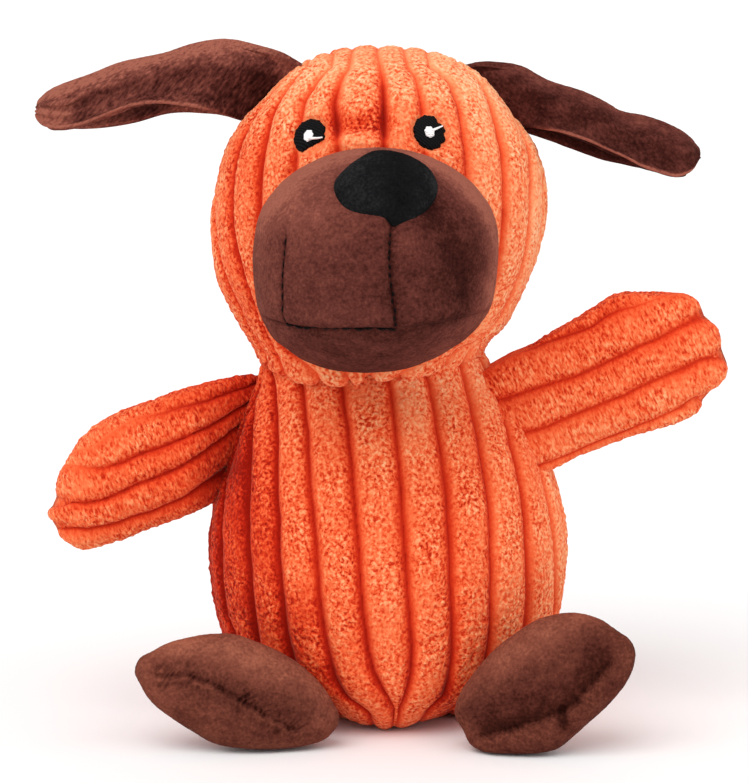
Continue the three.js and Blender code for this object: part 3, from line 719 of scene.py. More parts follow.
def disc(u, v):
    return u * np.sqrt(1 - v * v / 2), v * np.sqrt(1 - u * u / 2)


a, b = disc(u, v)
rr = np.hypot(a, b)
X, Y = a * 24.6, b * 24.6 * 0.855
base_h = rib_height(X / 11.5 + 0.5)
n0, pit0 = tufts(np.stack([X, Y, 0 * X], -1), 5.0)
Zb = 0.03 + 1.1 * (1 - base_h) + 1.2 * sstep(0.86, 1.0, rr) + 0.10 * (1 - n0) * 0.5
bl = pouch(X, Y, 0 * X) * sstep(0.55, 1.0, rr)
seat = shell("body_seat_cover", np.stack([X, Y, Zb + bl], -1), np.stack([X, Y, 3.0 + bl], -1), CORD, np.array([0, 0, 20.0]),
             attrs={"tone": np.clip(0.5 + 0.1 * n0 - 0.3 * (1 - base_h), 0.02, 0.98), "tuft": 0.8 * base_h})
keep(seat, ["body_base_panel"])


def copy_of(name, node, mat, move):
    """a filling with the CAD node's own shape, moved where its cover is drawn in; mm in, mm out"""
    src = frame["nodes"][node]
    me = src.data.copy()
    co = np.empty(len(me.vertices) * 3, np.float32)
    me.vertices.foreach_get("co", co)
    M = np.array(src.matrix_world)
    p = (co.reshape(-1, 3) @ M[:3, :3].T + M[:3, 3]) / MM
    me.vertices.foreach_set("co", (move(p) * MM).astype(np.float32).ravel())
    me.update()
    me.materials.clear()
    me.materials.append(mat)
    me.name = name
    ob = bpy.data.objects.new(name, me)
    bpy.context.scene.collection.objects.link(ob)
    return keep(ob, [node])


def drawn_in(p, cx, by):
    q = p.copy()
    r = np.hypot(p[:, 0] - cx, p[:, 1])
    k = 1 - by * sstep(4, 12, r) / np.maximum(r, 1e-6)
    q[:, 0] = cx + (p[:, 0] - cx) * k
    q[:, 1] = p[:, 1] * k
    return q


def tuck_up(p):
    q = drawn_in(p, 0.0, 1.5)
    q[:, 0] -= 0.8 * shoulder(np.arctan2(p[:, 0], -p[:, 1]) / DEG, p[:, 2])
    q[:, 2] += 1.15 * pouch(p[:, 0], p[:, 1], p[:, 2]) + 0.4 * (p[:, 2] < 8)
    return q


body_pad = copy_of("body_pad", "body_filling", FIBRE, tuck_up)

# --------------------------------------------------------------------- head
HX = -2.7
HEAD = curve([(23, 100.8), (26.6, 98.2), (29.4, 97.2), (31.6, 98.4), (32.6, 100.8), (33.7, 103.4), (35.0, 106.2), (36.8, 109.4), (38.7, 112.7),
              (41.3, 118), (43.1, 122), (44.7, 126.4), (45.8, 132), (46.5, 138), (46.6, 143), (46.1, 149), (45.1, 154.5),
              (43.4, 160), (41.2, 164.8), (38.4, 169.8), (34.8, 174.5), (30.2, 179.0), (25.4, 182.2), (20.0, 184.8), (13.6, 186.7), (7.0, 187.6), (0.25, 187.9)])
_hp = HEAD(np.linspace(0, 1, 4000))
_h0 = int(np.argmin(_hp[:, 1]))
HEAD_R = lambda z: np.interp(z, _hp[_h0:, 1], _hp[_h0:, 0])
HEAD_E = lambda z: np.maximum(HEAD_R(z), pchip([96, 176, 182, 189], [0, 20, 23, 25])(z))
HEAD_DELTA = pchip([96, 110, 120, 141, 160, 175, 186], [22, 19, 17.3, 15.6, 16.0, 17.3, 17.3])
HEAD_C = np.array([HX, 0, 142.0])


HEAD_LEAN = pchip([97, 104, 113, 122, 130, 140, 150, 160, 170, 190], [-2.0, -2.0, -1.6, -1.6, -1.0, 0, 0.7, 0.8, 0.3, 0])


def hx(z):
    return HX + HEAD_LEAN(z)


def head_depth(th):
    return 0.93 + 0.02 * sstep(90, 180, np.abs(th))


def head_front_y(x, z):
    r = HEAD_R(z)
    return -0.93 * np.sqrt(np.maximum(r * r - (x - hx(z)) ** 2, 0.5))


def head_px(u, v):
    y = np.full(np.shape(u), -30.0)
    for _ in range(60):
        x, z = at_px(u, v, y)
        y = 0.6 * y + 0.4 * head_front_y(x, z)
    return np.arcsin(np.clip((x - hx(z)) / (HEAD_E(z) - 1.3), -0.999, 0.999)) / DEG, z


H_ = lambda *pts: crop(pts, 4.239, 200, 30)
HEAD_RHO = groove_lines({
    -5: H_((170, 360), (120, 480), (92, 580), (75, 700), (73, 850), (86, 950), (115, 1050), (160, 1150), (215, 1270), (275, 1380), (300, 1440), (310, 1480)),
    -4: H_((330, 225), (290, 270), (240, 340), (180, 470), (150, 600), (138, 720), (145, 860), (175, 990), (215, 1100), (258, 1230), (310, 1340), (345, 1425), (375, 1480), (385, 1510)),
    -3: H_((465, 140), (440, 165), (400, 210), (350, 270), (310, 340), (285, 450), (265, 560), (257, 680), (255, 800), (262, 950), (275, 1130), (310, 1290), (350, 1360), (424, 1407), (500, 1462), (526, 1500)),
    -2: H_((575, 95), (530, 180), (482, 240), (447, 290), (432, 350), (418, 430), (405, 520), (400, 700), (410, 950), (450, 1200), (540, 1370), (615, 1450), (644, 1510)),
    -1: H_((650, 80), (612, 180), (583, 240), (567, 290), (570, 350), (575, 420), (584, 480), (590, 700), (600, 1000), (640, 1250), (680, 1380), (700, 1450), (704, 1510)),
    0: H_((752, 80), (760, 120), (774, 180), (780, 260), (780, 350), (780, 480), (772, 700), (772, 1000), (750, 1250), (725, 1380), (714, 1450), (711, 1510)),
    1: H_((862, 80), (905, 180), (930, 260), (942, 350), (950, 480), (955, 700), (935, 1000), (850, 1250), (770, 1380), (726, 1450), (716, 1510)),
    2: H_((955, 105), (1040, 200), (1075, 270), (1100, 350), (1113, 450), (1128, 530), (1130, 700), (1115, 950), (1020, 1200), (840, 1380), (745, 1450), (721, 1510)),
    3: H_((1060, 120), (1110, 155), (1170, 205), (1212, 270), (1240, 350), (1263, 450), (1280, 560), (1288, 700), (1284, 850), (1262, 1000), (1215, 1150), (1110, 1320), (954, 1420), (870, 1471), (825, 1505)),
    4: H_((1190, 190), (1250, 245), (1310, 320), (1370, 450), (1394, 580), (1396, 700), (1390, 850), (1370, 980), (1330, 1100), (1270, 1220), (1180, 1330), (1090, 1399), (1047, 1450), (1030, 1484)),
}, head_px, 14.0, -95, 95)


def eye_frame(u, v):
    """centre and axes of the eye that pixel u, v shows, on the head's smooth surface"""
    y = -33.0
    for _ in range(8):
        x, z = at_px(u, v, y)
        y = float(head_front_y(x, z))
    o = np.array([float(x), y, float(z)])
    tx = unit(np.array([1.0, float(head_front_y(o[0] + .5, o[2]) - head_front_y(o[0] - .5, o[2])), 0.0]))
    tz = unit(np.array([0.0, float(head_front_y(o[0], o[2] + .5) - head_front_y(o[0], o[2] - .5)), 1.0]))
    n = unit(np.cross(tx, tz))
    if n[1] > 0:
        n = -n
    ty = unit(np.cross(n, tx))
    if ty[2] < 0:
        ty = -ty
    return o, tx, ty, n


EYE_PX = {"left": (309.0, 134.8), "right": (431.0, 131.2)}
EYES = {k: eye_frame(*p) for k, p in EYE_PX.items()}
EYE_R = {"left": 4.65, "right": 4.5}
# the lower edge hangs deepest under the chin and rises towards both shoulders
EDGE_LIFT = pchip([-180, -90, -63, -41, -17, 2, 26, 52, 70, 90, 180], [2.0, 3.4, 2.4, 0.6, 0.5, 2.0, 2.9, 4.7, 5.5, 5.2, 2.0])


def head_panel(name, th0, th1, nu, nv, nodes, seed, back):
    th, s = np.meshgrid(np.linspace(th0, th1, nu), np.linspace(0, 1, nv), indexing="ij")
    rz = HEAD(s)
    k = head_depth(th)
    P = np.stack([hx(rz[..., 1]) + rz[..., 0] * np.sin(th * DEG), -rz[..., 0] * k * np.cos(th * DEG), rz[..., 1]], -1)
    nrm = grid_normals(P, HEAD_C)
    z, r = P[..., 2], rz[..., 0]
    the = np.arcsin(np.clip((P[..., 0] - hx(z)) / HEAD_E(z), -1, 1)) / DEG
    if back:
        rho, wide = (180 - np.abs(th)) / HEAD_DELTA(z), HEAD_DELTA(z)
        top = sstep(172, 178, z)
        rho = rho * (1 - top) + np.abs(the) / HEAD_DELTA(z) * top
    else:
        top = sstep(170, 176, z)
        rho, wide = HEAD_RHO(th * (1 - top) + the * top, z)
    d0, d1 = np.abs(th - th0) * DEG * r, np.abs(th1 - th) * DEG * r
    seam = 1.5 * (np.exp(-(d0 / 1.9) ** 2) + (0.35 if back else 1.0) * np.exp(-(d1 / 1.9) ** 2)) * sstep(0, 5, r) * (1 - 0.8 * sstep(176, 186, z))
    # the ears' seams draw the sides in
    draw = 2.6 * np.exp(-((th + 88) / 26) ** 2 - ((z - 176) / 9.5) ** 2) + 1.2 * np.exp(-((th - 88) / 24) ** 2 - ((z - 171) / 8.0) ** 2)
    lower = seam + draw
    eyes = np.zeros_like(z)
    if not back:
        for side, (o, tx, ty, n) in EYES.items():
            q = P - o
            e = np.hypot(q @ tx, (q @ ty) / 1.07)
            R = EYE_R[side]
            eyes = np.maximum(eyes, 1 - sstep(R - 0.1, R + 1.5, e))
        # the tuck between the eyes, above the muzzle
        x0, z0 = at_px(355, 123, -36.0)
        q = P - np.array([float(x0), float(head_front_y(x0, z0)), float(z0)])
        tuck = np.exp(-((q[..., 0] / 6.2) ** 2 + (q[..., 2] / 2.6) ** 2))
        x1, z1 = at_px(360, 142, -39.0)
        roll = np.exp(-(np.abs(P[..., 0] - float(x1)) / 8.0) ** 3 - ((z - float(z1)) / 2.2) ** 2) * (P[..., 1] < 0)
        # the two grooves beside the middle rib are drawn in deepest on the forehead
        pinch = (0.8 * np.exp(-((rho + 1) / 0.15) ** 2) * sstep(181, 173, z) + np.exp(-(rho / 0.15) ** 2) * sstep(185, 179, z)) * sstep(158, 162, z)
        lower = lower + 1.9 * tuck - 1.0 * roll + 0.7 * pinch
    else:
        tuck = roll = pinch = np.zeros_like(z)
    thin = sstep(1.2, 5.0, wide * DEG * HEAD_E(z))
    fade = (1 - 0.95 * eyes) * (1 - 0.55 * sstep(175, 186, z)) * thin * (0.5 + 0.5 * sstep(99, 110, z)) * (1 - 0.6 * roll)
    O, tone, tuft, h = corduroy(P, nrm, rho, seed, fade=fade, lower=lower + 0.8 * (1 - thin), shade=0.41)
    O = O - nrm * (1.3 * eyes)[..., None]
    # rounded rib ends hang over the neck seam
    hang = 1 - sstep(97.0, 104.0, z)
    O[..., 2] += EDGE_LIFT(th) * (1 - sstep(97.0, 112.0, z)) - 1.3 * hang * h * thin
    tone = tone - 0.16 * seam / 1.5 - 0.12 * (1 - thin)
    # painted light on the crown; painted shade in the forehead's drawn-in grooves
    tone = tone + 0.06 + 0.16 * sstep(158, 182, z) * (1.0 if not back else 0.6) + 0.05 * N4(P / 4.2 + seed) - 0.11 * pinch - 0.12 * pinch ** 4
    if not back:
        # painted light on the right side, at the side rims and on the roll under the tuck; painted shade on the left
        # side, in the tuck between the eyes and on the forehead
        tone = tone + 0.02 + 0.08 * sstep(10, 36, P[..., 0]) - 0.07 * sstep(-20, -42, P[..., 0]) - 0.24 * tuck + 0.12 * roll - 0.11 * np.exp(-((P[..., 0] + 6) / 14) ** 2 - ((z - 170.5) / 4.5) ** 2) + 0.09 * sstep(37, 44, np.abs(P[..., 0] - hx(z)))
    else:
        # the front's painted light and shade at the sides carries round the back
        tone = tone + sstep(155, 92, np.abs(th)) * np.where(th < 0, 0.03, 0.16)
    tuft = 1.02 * tuft * (1 + 0.15 * sstep(164, 176, z) - 0.25 * sstep(180, 187, z)) * (1 - 0.7 * eyes)
    Q = P - nrm * (3.2 + 0.6 * lower)[..., None]
    Q[..., 2] += EDGE_LIFT(th) * (1 - sstep(97.0, 112.0, z))
    ob = shell(name, O, Q, CORD, HEAD_C, attrs={"tone": np.clip(tone, 0.02, 0.98), "tuft": tuft}, weld=True)
    return keep(ob, nodes)


head_front = head_panel("head_front_cover", -90, 90, 345, 313, ["head_front_panel"], 4.0, False)
head_bl = head_panel("head_back_left_cover", -90.0, -180.0, 161, 289, ["head_back_left_panel"], 5.0, True)
head_br = head_panel("head_back_right_cover", 90.0, 180.0, 161, 289, ["head_back_right_panel"], 6.0, True)



def head_tuck(p):
    q = drawn_in(p, HX, 2.6)
    q[:, 0] += HEAD_LEAN(p[:, 2])
    q[:, 2] += 2.4 * sstep(112, 99, p[:, 2]) - 1.8 * sstep(160, 184, p[:, 2])
    return q


head_pad = copy_of("head_pad", "head_filling", FIBRE, head_tuck)


def neck_tuck(p):
    q = drawn_in(p, -1.5, 3.0)
    low = q[:, 2].min()
    q[:, 2] = low + 0.80 * (q[:, 2] - low)
    return q


neck_pad = copy_of("neck_pad", "neck_filling", FIBRE, neck_tuck)

# ------------------------------------------------------------------- muzzle
MX, MY, MZ = -3.2, -46.0, 133.2
# half-width against height
MZ_ = [103.0, 103.5, 104.4, 105.7, 107.5, 109.6, 113.2, 119.5, 126, 134, 140.5, 144.2, 147.8, 151, 153.8, 156.4, 158.7, 160.9, 162.4, 163.0]
MW_ = [0.4, 6.3, 10.9, 14.6, 18.5, 21.7, 26.3, 30.4, 31.9, 32.5, 32.1, 31.3, 29.8, 27.5, 25.0, 21.8, 18.0, 13.0, 7.0, 0.4]
MUZ = curve(np.stack([MW_, MZ_], -1))
_ms = MUZ(np.linspace(0, 1, 3000))
_mt = np.linspace(0, 1, 3000)
MUZ_W = lambda z: np.interp(z, _ms[:, 1], _ms[:, 0])
MUZ_C = np.array([MX, MY, MZ])


MUZ_LEAN = pchip([90, 103, 106.4, 108.7, 110.9, 113.2, 115.5, 117.7, 120, 122.2, 129, 134, 142, 170],
                 [-2.7, -2.7, -2.7, -2.2, -2.0, -1.7, -1.26, -1.0, -0.7, -0.56, -0.4, -0.3, 0, 0])


def muz_reach(w, z):
    """how far the muzzle comes forward of MY where its half-width is w"""
    return w * (0.975 - 0.10 * sstep(138, 160, z) - 0.05 * (1 - sstep(106, 118, z)))


def muz_point(al, w, z):
    """al in degrees from straight ahead; w, z from the profile. Past 90 degrees the sides run back to the head."""
    a = np.clip(al, -90, 90) * DEG
    back = np.clip((np.abs(al) - 90) / 60, 0, 1)
    x = MX + MUZ_LEAN(z) + np.maximum(w - 0.4 * sstep(0, 0.1, back), 0) * np.sin(a) * (1 - 0.08 * back ** 2)
    y = MY - muz_reach(w, z) * np.cos(a) + (17 + 4 * sstep(125, 108, z)) * back
    return np.stack([x, y, z + back * (7.5 * sstep(124, 104, z) - 2.6 * sstep(142, 160, z))], -1)


def muz_out(p):
    return unit((p - MUZ_C) / np.array([32.5, 31.0, 29.8]) ** 2)


def muz_hit(o, d):
    """points where rays from inside o along d leave the smooth muzzle"""
    lo, hi = np.zeros(o.shape[:-1]), np.full(o.shape[:-1], 70.0)
    for _ in range(34):
        mid = (lo + hi) / 2
        p = o + d * mid[..., None]
        w = np.where((p[..., 2] > MZ_[0]) & (p[..., 2] < MZ_[-1]), MUZ_W(p[..., 2]), 1e-6)
        e = ((p[..., 0] - MX) / w) ** 2 + (np.maximum(MY - p[..., 1], 0) / np.maximum(muz_reach(w, p[..., 2]), 1e-6)) ** 2
        inside = e < 1
        lo, hi = np.where(inside, mid, lo), np.where(inside, hi, mid)
    return o + d * lo[..., None]


def muz_px(u, v):
    """angle and height of the points on the muzzle that pixels u, v show"""
    u, v = np.asarray(u, float), np.asarray(v, float)
    y = np.full(u.shape, -70.0)
    for _ in range(60):
        x, z = at_px(u, v, y)
        w = MUZ_W(z)
        c = np.sqrt(np.clip(1 - ((x - MX - MUZ_LEAN(z)) / w) ** 2, 0.0004, 1))
        y = 0.6 * y + 0.4 * (MY - muz_reach(w, z) * c)
    return np.arcsin(np.clip((x - MX - MUZ_LEAN(z)) / w, -1, 1)) / DEG, z


def px_table(pts):
    p = np.asarray(pts, float)
    return muz_px(p[:, 0], p[:, 1])


_al, _z = px_table([(262, 317), (284, 326), (300, 329), (320, 331), (345, 331), (370, 330), (394, 330), (420, 327), (450, 322), (476, 315), (486, 311)])
_o = np.argsort(_al)
_mouth = pchip(np.r_[-125, _al[_o], 125], np.r_[_z[_o][0] + 1.5, _z[_o], _z[_o][-1] + 1.5])
MOUTH_Z = lambda al: _mouth(np.clip(al, -124, 124))
_al, _z = px_table([(392, 222), (390, 242), (390, 266), (392, 289), (394, 310), (395, 330)])
CEN = lambda z, a=_al[::-1].copy(), b=_z[::-1].copy(): np.interp(z, b, a)
_al, _z = px_table([(285, 233), (283, 254), (282, 270), (281, 287), (282, 306), (284, 324)])
SIDE = lambda z, a=_al[::-1].copy(), b=_z[::-1].copy(): np.interp(z, b, a)
_al, _z = px_table([(433, 200), (440, 214), (448, 232), (455, 252), (461, 272), (465, 290), (466, 306)])
FOLD = lambda z, a=_al[::-1].copy(), b=_z[::-1].copy(): np.interp(z, b, a)
FOLD_Z = float(_z.min()), float(_z.max())
NOSE_SIDE = [float(q[0]) for q in px_table([(421, 213)])]
CEN0 = float(CEN(130.0))


def muz_fields(al, w, z):
    """rise of the muzzle's surface at its seams and tucks, and its tone: painted light on the upper part, the upper
    left and the rim, painted shade in the seams, the fold, the crease and under the nose
    """
    dm = z - MOUTH_Z(al)
    xc, xs = (al - CEN(z)) * DEG * w, (al - SIDE(z)) * DEG * w
    front = sstep(90, 58, np.abs(al))
    left = sstep(14, -4, al)
    low = sstep(149, 145, z) * sstep(-0.5, 1.5, dm)
    centre = 0.95 * np.exp(-(np.abs(xc) / 1.35) ** 1.6) * low
    cheek = 0.55 * np.exp(-((np.abs(xc) - 6) / 4.6) ** 2) * low
    side = 0.60 * np.exp(-(np.abs(xs) / 1.0) ** 1.6) * sstep(143.5, 141, z) * sstep(0, 1.5, dm)
    mouth = (0.55 + 0.45 * left) * np.exp(-(np.abs(dm) / 1.15) ** 1.7) * front
    lip = 0.45 * np.exp(-((dm - 3.4) / 2.6) ** 2) * front + 0.35 * (1 - left) * np.exp(-((dm - 2.4) / 1.8) ** 2) * front
    chin = 0.65 * sstep(0.8, -0.9, dm) * sstep(80, 45, np.abs(al))
    x = MX + w * np.sin(al * DEG)
    patch = np.exp(-((x - 18) / 10.5) ** 2 - ((z - 131) / 15) ** 2)
    # painted shade in the fold on the right cheek
    fold = np.exp(-((al - FOLD(z)) * DEG * w / 4.8) ** 2) * sstep(FOLD_Z[0] - 4, FOLD_Z[0] + 3, z) * sstep(FOLD_Z[1] + 5, FOLD_Z[1] - 2, z)
    # painted shadow under the right side of the nose
    under = np.exp(-((al - NOSE_SIDE[0]) * DEG * w / 5.0) ** 2 - ((z - NOSE_SIDE[1]) / 3.6) ** 2)
    face = -(muz_out(muz_point(al, w, z)) @ FWD)
    lit = sstep(0.68, 0.28, face) * (0.17 + 0.16 * sstep(138, 150, z) + (0.33 - 0.22 * sstep(126, 114, z)) * sstep(0, 18, x)) * (1 - np.exp(-((x + 7) / 13) ** 2) * sstep(118, 110, z))
    # painted shade along the crease right of the mouth, painted light just below it
    crease = np.exp(-(np.abs(dm - 0.5) / 1.3) ** 1.6) * sstep(2, 10, x) * front
    below = np.exp(-((dm + 2.6) / 1.9) ** 2) * sstep(4, 16, x) * front
    upper = sstep(132, 156, z)
    # tone: painted light and shade as above, a darker patch on the right cheek and painted shade in the grooves at the
    # seams and mouth
    tone = (lit - 0.16 * fold - 0.16 * under - 0.13 * crease + 0.07 * below + 0.17 * sstep(138, 149, z) * sstep(-11, -26, x)
            - 0.10 * mouth - 0.09 * centre - 0.09 * side - 0.13 * patch - 0.08 * sstep(0.5, -2.5, dm)
            + 0.18 * upper * sstep(24, -34, al) + 0.07 * upper * sstep(20, 50, al) + 0.04 * sstep(0, -20, x) - 0.06)
    # the seams show as thin dark lines between the stitches
    tone = tone - 0.17 * np.exp(-(xc / 0.55) ** 2) * low - 0.24 * np.exp(-(xs / 0.55) ** 2) * sstep(143.5, 141, z) * sstep(0, 1.5, dm) - 0.14 * left * np.exp(-(dm / 0.6) ** 2) * front
    near = sstep(0.5, 7.0, w)
    return (lip + cheek - centre - side - mouth - chin - 0.8 * fold) * near, tone


def muzzle_panel(name, al0, al1, part, nu, nv, nodes, seed):
    al, t = np.meshgrid(np.linspace(al0, al1, nu), np.linspace(0, 1, nv), indexing="ij")
    sm = np.interp(MOUTH_Z(al), _ms[:, 1], _mt)
    s = sm * t if part == "chin" else sm + (1 - sm) * t
    wz = MUZ(s)
    w, z = wz[..., 0], wz[..., 1]
    if part == "left":
        al = al + (CEN(z) - CEN0) * (al - al0) / (al1 - al0)
    if part == "right":
        al = al + (CEN(z) - CEN0) * (al1 - al) / (al1 - al0)
    P = muz_point(al, w, z)
    rise, dt = muz_fields(al, w, z)
    P2 = P + muz_out(P) * rise[..., None]
    O, tone = short_pile(P2, muz_out(P2), seed, 0.09, 0.085)
    ob = shell(name, O, P2 - muz_out(P2) * 1.7, BROWN, MUZ_C, attrs={"tone": np.clip(tone + dt, 0.02, 0.98)}, weld=True)
    return keep(ob, nodes)


muz_l = muzzle_panel("muzzle_left_cover", -150, CEN0, "left", 241, 153, ["muzzle_left_panel"], 7.0)
muz_r = muzzle_panel("muzzle_right_cover", CEN0, 150, "right", 233, 153, ["muzzle_right_panel"], 7.0)
muz_c = muzzle_panel("muzzle_chin_cover", -150, 150, "chin", 393, 65, ["muzzle_chin_panel"], 8.0)

def muzzle_tuck(p):
    q = MUZ_C + (p - MUZ_C) * np.array([0.95, 0.97, 0.96])
    q[:, 0] += MUZ_LEAN(p[:, 2])
    return q


muzzle_pad = copy_of("muzzle_pad", "muzzle_filling", FIBRE, muzzle_tuck)

# nose: a soft rounded upside-down triangle lying over the muzzle's upper front, over its own pad
u, v = np.meshgrid(np.linspace(-1, 1, 129), np.linspace(-1, 1, 129), indexing="ij")
a, b = disc(u, v)
NOSE_TILT = 46 * DEG
nx, nt, nn = np.array([1.0, 0, 0]), np.array([0, math.sin(NOSE_TILT), math.cos(NOSE_TILT)]), np.array([0, -math.cos(NOSE_TILT), math.sin(NOSE_TILT)])
NOSE_O = np.array([-0.7, MY, MZ]) + 1.1 * nt
ang, rad = np.arctan2(b, a), np.hypot(a, b)
NOSE_OUT = pchip([-205, -180, -163, -148, -133, -117, -100, -92, -87, -82, -75, -64, -47, -28, -7, 10, 32, 55, 75, 95, 105, 118, 135, 155, 180, 205],
                 [13.3, 13.8, 13.8, 13.8, 13.4, 12.6, 12.1, 12.4, 13.4, 14.3, 14.2, 13.9, 13.4, 13.1, 13.4, 13.6, 13.5, 13.0, 12.9, 13.2, 13.2, 12.4, 11.8, 12.2, 13.7, 13.3])
R = NOSE_OUT(ang / DEG)
A, B = a * R, b * R
ray_o = NOSE_O + A[..., None] * nx + B[..., None] * nt - 8.0 * nn
S = muz_hit(ray_o, np.broadcast_to(nn, ray_o.shape))
sn = muz_out(S)
dome = np.clip(1 - rad ** 2.4, 0, 1) ** 0.6
P = S + sn * (4.6 * dome - 0.6)[..., None]
O, tone = short_pile(P, sn, 9.0, 0.09, 0.10)
# painted light on the left part and the right rim; painted shade right of the middle, on the top and at the bottom
tone = tone + 0.13 * sstep(1, -9, A) - 0.20 * np.exp(-((A - 3.0) / 3.4) ** 2) + 0.30 * sstep(8, 12.5, A) * sstep(-9, 0, B) - 0.12 * sstep(2, 9, B) - 0.06 * sstep(0, -8, B)
nose = shell("nose_cover_piece", O, S + sn * (3.4 * dome - 1.2)[..., None], BLACK, NOSE_O, attrs={"tone": tone})
keep(nose, ["nose_cover"])
pad = shell("nose_pad", S + sn * (2.9 * dome - 1.3)[..., None] - nn * 0.05, S - sn * 1.6, FIBRE, NOSE_O)
keep(pad, ["nose_filling"])

# --------------------------------------------------------------------- eyes
def on_head(o, tx, ty, A, B):
    x, z = o[0] + A * tx[0] + B * ty[0], o[2] + A * tx[2] + B * ty[2]
    return np.stack([x, head_front_y(x, z), z], -1)


def dent(ang, at, width):
    return np.exp(-((np.mod(ang / DEG - at + 180, 360) - 180) / width) ** 2)


for side, (o, tx, ty, n) in EYES.items():
    u, v = np.meshgrid(np.linspace(-1, 1, 81), np.linspace(-1, 1, 81), indexing="ij")
    a, b = disc(u, v)
    rad, ang = np.hypot(a, b), np.arctan2(b, a)
    # the pile leans over the lower right (left eye) or the right rim (right eye)
    if side == "left":
        bite = np.maximum(EYE_R[side] - 3.0 / np.maximum(np.cos(ang + 59 * DEG), 0.3), 0) + 0.4 * dent(ang, 10, 9)
    else:
        bite = 0.8 * dent(ang, 40, 12) + 0.55 * dent(ang, -8, 8) + 0.4 * dent(ang, -48, 8)
    jag = 0.09 * np.sin(ang * 11 + 1.3) + 0.06 * np.sin(ang * 23)
    R = EYE_R[side] - bite + jag
    A, B = (a * R - 0.35, b * R * 1.06) if side == "left" else (a * R, b * R * 1.11 + 0.15)
    S = on_head(o, tx, ty, A, B)
    strand = 0.05 * np.sin(A * 9.5 + 1.2 * np.sin(B * 1.3))
    h = -1.15 + 1.0 * np.clip(1 - rad ** 3.0, 0, 1) ** 0.5 + strand * (1 - rad ** 4)
    ob = shell(f"eye_{side}_stitch", S + n * h[..., None], S - n * 2.6, THREAD_BLACK, HEAD_C)
    keep(ob, [f"eye_{side}_embroidery"])
    # white highlight: a small padded knot with a trailing strand
    R = 1.4 * (1 + 0.05 * np.sin(ang * 7))
    A, B = a * R - (0.25 if side == "left" else 0.35), b * R * 1.2 - (0.15 if side == "left" else 0.1)
    S = on_head(o, tx, ty, A, B)
    h = -0.30 + 0.75 * np.clip(1 - rad ** 2.4, 0, 1) ** 0.6 + 0.05 * np.sin(B * 12)
    ob = shell(f"eye_{side}_glint", S + n * h[..., None], S - n * 0.6, THREAD_WHITE, HEAD_C)
    keep(ob, [f"eye_{side}_highlight"])
    t = np.linspace(0, 1, 14)
    if side == "left":
        A, B = 0.3 + 3.9 * t, -0.95 - 0.25 * t + 0.55 * t ** 2
    else:
        A, B = 0.2 + 3.3 * t, 0.1 + 1.3 * t
    ob = tubes(f"eye_{side}_glint_strand", [(on_head(o, tx, ty, A, B) + n * 0.12, 0.42 * (1 - 0.55 * t))], THREAD_WHITE)
    keep(ob, [])

# ------------------------------------------------------------- face stitches
def face_stitches(name, al, z, gap, length, radius, lift, node, wob=0.0):
    """short stitches along a run of angles and heights on the muzzle's finished surface"""
    w = MUZ_W(z)
    p = muz_point(al, w, z)
    p = p + muz_out(p) * (muz_fields(al, w, z)[0] + lift)[..., None]
    c = curve(p)
    total = np.sum(np.linalg.norm(np.diff(c(np.linspace(0, 1, 300)), axis=0), axis=1))
    count = max(1, int(total // (gap + length)))
    runs = []
    for i in range(count):
        t0 = (i + 0.5) / count - 0.5 * length / total
        q = c(np.clip(np.linspace(t0, t0 + length / total, 8), 0, 1))
        arch = np.sin(np.linspace(0, math.pi, 8))
        runs.append((q + muz_out(q) * (0.45 * arch - 0.35)[:, None] + np.array([wob * (rand1(i, 3) - 0.5), 0, wob * (rand1(i, 5) - 0.5)]),
                     radius * (0.7 + 0.3 * arch)))
    keep(tubes(name, runs, THREAD_DARK), [node])


z = np.linspace(float(px_table([(392, 229)])[1][0]), float(MOUTH_Z(CEN0)) + 0.3, 24)
face_stitches("muzzle_centre_stitches", CEN(z), z, 0.55, 1.55, 0.34, 0.02, "muzzle_centre_stitching", 0.75)
al = np.linspace(float(SIDE(119.0)) - 1, float(CEN(119.0)) + 2, 40)
face_stitches("muzzle_mouth_stitches", al, MOUTH_Z(al) + 0.30 * np.sin(al * 0.35), 0.35, 2.6, 0.35, 0.02, "muzzle_mouth_stitching", 0.7)
z = np.linspace(float(px_table([(285, 235)])[1][0]), float(MOUTH_Z(SIDE(119.0))) + 0.4, 24)
face_stitches("muzzle_side_stitches", SIDE(z), z, 0.45, 2.5, 0.25, -0.05, "muzzle_side_stitching", 0.45)

# hand-closed seam in the back
runs = []
for i in range(11):
    z = 28 + i * 4.2
    sgn = 1 if i % 2 else -1
    t = np.linspace(-1, 1, 9)
    zz = z + t * 1.5
    s = np.interp(zz, BODY(np.linspace(0, 1, 500))[:, 1], np.linspace(0, 1, 500))
    x = sgn * t * 2.1
    p = body_point(180 + 0 * zz, s)
    p[:, 0] = x
    p[:, 1] += -1.5 + 1.1 * (1 - t ** 2)
    runs.append((p, 0.38 * np.ones(9)))
back_st = keep(tubes("back_seam_stitches", runs, THREAD_ORANGE), ["back_closing_stitches"])

# --------------------------------------------------------------------- ears
def px_curve(pts, y=0.0):
    p = np.asarray(pts, float)
    x, z = at_px(p[:, 0], p[:, 1], y)
    return np.stack([x, z], -1)
